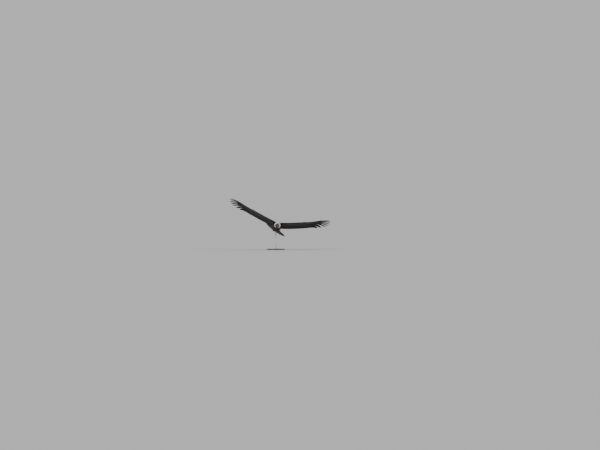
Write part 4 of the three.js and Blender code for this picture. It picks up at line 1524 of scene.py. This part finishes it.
def horn_look():
    """Blackish at the base, ivory towards the tip, the ivory painted darker and browner than the real
    ivory-white as painted shade: the field tip runs from 0 to 1.
    """
    look = Look("bill_horn", Roughness=0.32, Specular_IOR_Level=0.5, Coat_Weight=0.15, Coat_Roughness=0.25)
    mottle = look.grain(160.0, 4, 0.6)
    layers = look.grain(1.0, 4, 0.6, look.place((900.0, 120.0, 300.0)))
    tip = look.plus(look.field("tip"), look.span(mottle, 0.3, 0.7, -0.12, 0.12))
    # Painted shade: the tip's ivory is darker and browner than the real ivory-white.
    shaded_ivory = look.mix(look.span(layers, 0.35, 0.7), (0.27, 0.215, 0.14, 1), (0.18, 0.13, 0.075, 1))
    horn = look.mix(look.span(layers, 0.35, 0.7), grey(0.022, 0.15), grey(0.045, 0.2))
    colour = look.mix(look.span(tip, 0.38, 0.72), horn, shaded_ivory)
    # Painted shade: the nostrils are painted near-black.
    look.set("Base Color", look.mix(look.field("hollow_shade"), colour, grey(0.004)))
    look.set("Roughness", look.span(mottle, 0.3, 0.7, 0.26, 0.42))
    look.set("Normal", look.relief(layers, 0.00015))
    return look.made


def eye_look():
    """A brown iris round a black pupil. The field tilt is the angle off the eye's axis, turned round it."""
    look = Look("eye", Roughness=0.08, Specular_IOR_Level=0.25, Coat_Weight=0.5, Coat_Roughness=0.02)
    tilt = look.field("tilt")
    along = look.vector(look.times(look.field("turned"), 14.0), look.times(tilt, 3.0))
    fibres = look.grain(1.0, 4, 0.6, along)
    iris = look.mix(look.span(fibres, 0.3, 0.7), (0.034, 0.013, 0.006, 1), (0.115, 0.043, 0.015, 1))
    iris = look.mix(look.span(tilt, 0.50, 0.66), iris, (0.012, 0.006, 0.004, 1))
    colour = look.mix(look.span(tilt, 0.31, 0.35), grey(0.001), iris)
    look.set("Base Color", look.mix(look.span(tilt, 0.66, 0.74), colour, (0.03, 0.018, 0.014, 1)))
    return look.made


def scale_look():
    """Grey scaly legs, whitened in patches, darker between the scales."""
    look = Look("leg_scales", Roughness=0.55, Specular_IOR_Level=0.4)
    cells = look.cells(330.0)
    chalk = look.grain(30.0, 4, 0.6)
    seams = look.span(cells, 0.0, 0.12)
    plates = look.mix(look.span(chalk, 0.42, 0.68), grey(0.075, 0.03), grey(0.30, 0.04))
    look.set("Base Color", look.mix(seams, grey(0.025, 0.05), plates))
    look.set("Normal", look.relief(look.span(cells, 0.0, 0.3), 0.0005))
    return look.made


def claw_look():
    look = Look("claw_horn", Roughness=0.3, Specular_IOR_Level=0.5)
    streaks = look.grain(1.0, 4, 0.6, look.place((900.0, 90.0, 900.0)))
    look.set("Base Color", look.mix(look.span(streaks, 0.35, 0.7), grey(0.012, 0.1), grey(0.05, 0.2)))
    look.set("Normal", look.relief(streaks, 0.0002))
    return look.made


def wood_look():
    look = Look("stand_wood", Roughness=0.42, Coat_Weight=0.2, Coat_Roughness=0.3)
    grain = look.place((1.5, 26.0, 1.5))
    lines = look.grain(4.0, 6, 0.65, grain, 1.4)
    pores = look.grain(70.0, 3, 0.6, grain)
    colour = look.mix(look.span(lines, 0.3, 0.7), (0.028, 0.017, 0.011, 1), (0.062, 0.036, 0.021, 1))
    colour = look.mix(look.span(pores, 0.55, 0.75, 0.0, 0.6), colour, (0.012, 0.008, 0.006, 1))
    look.set("Base Color", colour)
    look.set("Roughness", look.span(lines, 0.3, 0.7, 0.36, 0.5))
    look.set("Normal", look.relief(pores, 0.0002))
    return look.made


def steel_look(name, low, high):
    look = Look(name, Metallic=1.0, Anisotropic=0.4)
    brushed = look.grain(1.0, 4, 0.6, look.place((60.0, 60.0, 2600.0)))
    look.set("Base Color", look.mix(look.span(brushed, 0.3, 0.7), grey(low), grey(high)))
    look.set("Roughness", look.span(brushed, 0.3, 0.7, 0.28, 0.42))
    return look.made


PLUMAGE = plumage_look("black_plumage", grey(0.0038, 0.04), (0.011, 0.0082, 0.0066, 1), grey(0.64, 0.015))
DOWN = down_look()
HEAD_SKIN = skin_look(
    "head_skin", (0.012, 0.008, 0.007, 1), (0.075, 0.036, 0.026, 1), (0.115, 0.034, 0.023, 1)
)
BODY_SKIN = skin_look(
    "body_skin", (0.014, 0.011, 0.010, 1), (0.20, 0.085, 0.055, 1), (0.22, 0.060, 0.038, 1)
)
COMB_FLESH = skin_look(
    "comb_flesh", (0.012, 0.007, 0.0065, 1), (0.038, 0.019, 0.015, 1), (0.085, 0.026, 0.019, 1)
)
HORN = horn_look()
EYE = eye_look()
SCALES = scale_look()
CLAW = claw_look()
WOOD = wood_look()
STEEL = steel_look("stand_steel", 0.34, 0.46)
DARK_STEEL = steel_look("saddle_steel", 0.05, 0.08)


def keep(made, look, slot, *nodes):
    """A finished piece of the bird or its stand, shown in place of these solids."""
    made.data.materials.append(look)
    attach(made, "root")
    if nodes:
        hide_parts(*nodes)
    return made


# Coat

TUFTS = 4400
FACES = ((1, "upper"), (-1, "under"))


def feathered(name, layer, *nodes, **more):
    """A layer of feathers as a finished piece: (blades, lengths) or (blades, lengths, roots)."""
    return keep(coat(name, *layer, **more), PLUMAGE, "plumage", *nodes)


def great_coverts(side, face):
    """Greater and median coverts of one face, and where the upper ones are white."""
    greater, greater_length, greater_root, number = along_flights(side, face, 0.10, 0.36, 24, 1.6, 3.0, 1.2)
    median, median_length, median_root, _ = along_flights(side, face, 0.02, 0.25, 19, 2.0, 4.0, 1.6)
    rows = merged(greater, median)
    uv = spread(*np.vstack([greater_root, median_root]).T)
    pale = None
    if face > 0:
        inner = smooth(1.5, 5, number) * smooth(FIRST_PRIMARY + 5, FIRST_PRIMARY + 1, number)
        white = each(greater, inner) * smooth(0.38, 0.56, greater["t"])
        pale = np.r_[white, np.zeros(len(median["points"]))] * (0.75 + 0.25 * rows["s"])
    return (rows, np.r_[greater_length, median_length], uv), pale


for name, side in SIDES:
    layer = flight_feathers(side)
    nodes = (f"wing_{name}_arm", f"wing_{name}_hand")
    feathered(f"flight_feathers_{name}", layer, *nodes, pale=white_of_flights(layer[0]))
    for face, word in FACES:
        layer, pale = great_coverts(side, face)
        feathered(f"{word}_great_coverts_{name}", layer, pale=pale)
        feathered(f"{word}_small_coverts_{name}", lesser_coverts(side, face))
    feathered(f"scapulars_{name}", scapulars(side))
    feathered(f"edge_coverts_{name}", edge_coverts(side))
    feathered(f"alula_{name}", alula(side))
    feathered(f"thigh_feathers_{name}", thigh_feathers(side))

feathered("tail_feathers", tail_feathers(), "tail")
for face, word in FACES:
    feathered(f"tail_{word}_coverts", tail_coverts(face))
feathered("body_feathers", body_feathers(-238, 318, off_crop))

for word in ("lower", "middle", "upper"):
    keep(coat(f"ruff_down_{word}", *ruff_down(TUFTS)), DOWN, "down", "ruff")
points, faces = ruff_core()
core = piece("ruff_core", on_stand(points), faces, values={"tone": np.full(len(points), 0.5)})
keep(core, DOWN, "down")

# Flesh


def skin_piece(name, parts):
    """One mesh of (points, faces, dark, red, painted shade of creases and hollows) parts."""
    points, faces = joined(*((p[0], p[1]) for p in parts))
    columns = zip(("dark", "red", "hollow_shade"), list(zip(*parts))[2:])
    fields = {key: np.concatenate(values) for key, values in columns}
    return piece(name, on_stand(points), faces, values=fields)


head_parts = [*head_skin(), crop_skin()]
body_part = body_skin()
skin = skin_piece("skin", [*head_parts, body_part])
flesh_nodes = ["trunk", "neck", "head", "thigh_left", "thigh_right"]
keep(skin, HEAD_SKIN, "bare_skin", *flesh_nodes)
skin.data.materials.append(BODY_SKIN)
head_faces = sum(len(part[1]) for part in head_parts)
of_body = np.arange(head_faces + len(body_part[1])) >= head_faces
skin.data.polygons.foreach_set("material_index", of_body.astype(np.int32))

points, faces, bake = bristles(BRISTLES)
hairs = piece("bristles", on_stand(points), faces, uv={"OFBake": bake}, soft=False)
keep(hairs, CLAW, "bare_skin")

points, faces, hollow_shade = comb_shape()
# Painted shade: the comb's creases are darker, through both its dark field and its shade field.
parts = [(moved(points, HEAD), faces, 0.55 + 0.2 * hollow_shade, 0.35 + 0 * hollow_shade, hollow_shade * 0.6)]
keep(skin_piece("fleshy_comb", parts), COMB_FLESH, "comb_flesh", "comb")
points, faces, hollow_shade = wattle_shape()
# Painted shade in the wattle's folds.
parts = [(moved(points, HEAD), faces, 0.35 + 0 * hollow_shade, 0.6 + 0 * hollow_shade, hollow_shade)]
keep(skin_piece("throat_wattle", parts), COMB_FLESH, "bare_skin", "wattle")

upper, lower = bill_shapes()
bills = (("hooked_bill", upper, "bill_upper"), ("lower_jaw", lower, "bill_lower"))
for name, (points, faces), node in bills:
    tip = np.clip((IVORY_AT - points[:, 1]) / IVORY_FADE, 0, 1)
    # Painted shade: the nostrils are painted near-black.
    hollow_shade = smooth(1.0, 0.55, from_nostril(points, 4.2, 1.9)) if node == "bill_upper" else 0 * tip
    shown = piece(name, on_stand(moved(points, HEAD)), faces, values={"tip": tip, "hollow_shade": hollow_shade})
    keep(shown, HORN, "bill_horn", node)

for name, side in SIDES:
    points, faces, tilt, turned = eyeball(side)
    fields = {"tilt": tilt, "turned": turned}
    ball = piece(f"eyeball_{name}", on_stand(moved(points, HEAD)), faces, values=fields)
    keep(ball, EYE, "eye", f"eye_{name}")
    points, faces = leg(side)
    keep(piece(f"scaled_shank_{name}", on_stand(points), faces), SCALES, "leg_scales", f"shank_{name}")
    points, faces = joined(*(toe(side, end, thick) for end, thick in TOES.values()))
    keep(piece(f"scaled_foot_{name}", on_stand(points), faces), SCALES, "leg_scales", f"foot_{name}")
    points, faces = joined(*(claw(side, end, thick) for end, thick in TOES.values()))
    nodes = [f"claw_{name}_{toe_name}" for toe_name in TOES]
    keep(piece(f"claws_{name}", on_stand(points), faces), CLAW, "claw_horn", *nodes)

# Stand


def turned_piece(name, outline, around=160):
    """A solid turned round the upright axis from (radius, height) points, in millimetres."""
    turned = full_turn(around)
    one, two = np.eye(3)[:2]
    rings = [r * directions(one, two, turned) + (0, 0, height) for r, height in outline]
    points, faces = loft(rings)
    return piece(name, points * 0.001, faces)


def rounded(radius, height, corner, steps=8):
    a = np.linspace(0, np.pi / 2, steps)
    return [(radius + corner * (math.cos(k) - 1), height + corner * (math.sin(k) - 1)) for k in a]


edge = BASE_RADIUS - 3
base_outline = [(edge, 0), (BASE_RADIUS, 2), (BASE_RADIUS, 10), (edge, 12), (edge, 13.5)]
base_outline += rounded(BASE_RADIUS, BASE_HEIGHT, 6)
base_outline += [(BASE_RADIUS * 0.6, BASE_HEIGHT), (36, BASE_HEIGHT)]
keep(turned_piece("wooden_base", base_outline), WOOD, "stand_wood", "stand_base")
rod_top = BODY_HEIGHT - BELLY_DEPTH * math.cos(ROLL) + 4
flange = ((34, 0), (34, 4.5), (33, 6), (ROD_RADIUS + 5, 9), (ROD_RADIUS + 1, 13), (ROD_RADIUS, 18))
rod_outline = [(radius, BASE_HEIGHT + up) for radius, up in flange] + [(ROD_RADIUS, rod_top)]
keep(turned_piece("steel_rod", rod_outline, 64), STEEL, "stand_steel", "stand_rod")
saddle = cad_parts["stand_saddle"]
saddle.data.materials.clear()
saddle.data.materials.append(DARK_STEEL)

# Stage: a pale floor that fades into the light, soft lights, and the camera

SKY = 0.56
FLOOR_SHADE = 0.5
FLOOR_HALF = 400
floor = bpy.data.meshes.new("floor")
corners = [(x * FLOOR_HALF, y * FLOOR_HALF, 0) for x, y in ((-1, -1), (1, -1), (1, 1), (-1, 1))]
floor.from_pydata(corners, [], [(0, 1, 2, 3)])
ground = bpy.data.objects.new("floor", floor)
bpy.context.scene.collection.objects.link(ground)
pale_floor = Look("pale_floor", Roughness=1.0, Specular_IOR_Level=0.0)
pale_floor.set("Base Color", grey(FLOOR_SHADE))
floor.materials.append(pale_floor.made)

world = bpy.data.worlds.new("studio")
world.use_nodes = True
world.node_tree.nodes["Background"].inputs["Color"].default_value = grey(1.0)
world.node_tree.nodes["Background"].inputs["Strength"].default_value = SKY
bpy.context.scene.world = world

# The suns light the floor just as much as makes it as bright as the sky
sun_share = math.pi * SKY * (1 - FLOOR_SHADE) / FLOOR_SHADE
for name, toward, share, width in (
    ("key", (-0.75, -1.0, 1.15), 0.62, 22),
    ("fill", (1.2, -0.7, 0.65), 0.18, 40),
    ("back", (0.3, 1.0, 0.8), 0.20, 35),
):
    light = bpy.data.lights.new(name, "SUN")
    toward = Vector(toward).normalized()
    light.energy = sun_share * share / toward.z
    light.angle = rad(width)
    lamp = bpy.data.objects.new(name, light)
    lamp.rotation_euler = toward.to_track_quat("Z", "Y").to_euler()
    bpy.context.scene.collection.objects.link(lamp)

LENS = 100
SENSOR = 36
PICTURE_WIDTH = 16.5
CAMERA_RISE = rad(0.5)
aim = Vector((0.664, 0.0, 0.680))
distance = PICTURE_WIDTH * LENS / SENSOR
camera = bpy.data.objects.new("camera", bpy.data.cameras.new("camera"))
camera.data.lens, camera.data.sensor_width = LENS, SENSOR
camera.data.clip_start, camera.data.clip_end = 0.1, 2000
camera.location = aim + distance * Vector((0, -math.cos(CAMERA_RISE), math.sin(CAMERA_RISE)))
camera.rotation_euler = (math.pi / 2 - CAMERA_RISE, 0, 0)
bpy.context.scene.collection.objects.link(camera)
bpy.context.scene.camera = camera

bpy.context.view_layer.update()
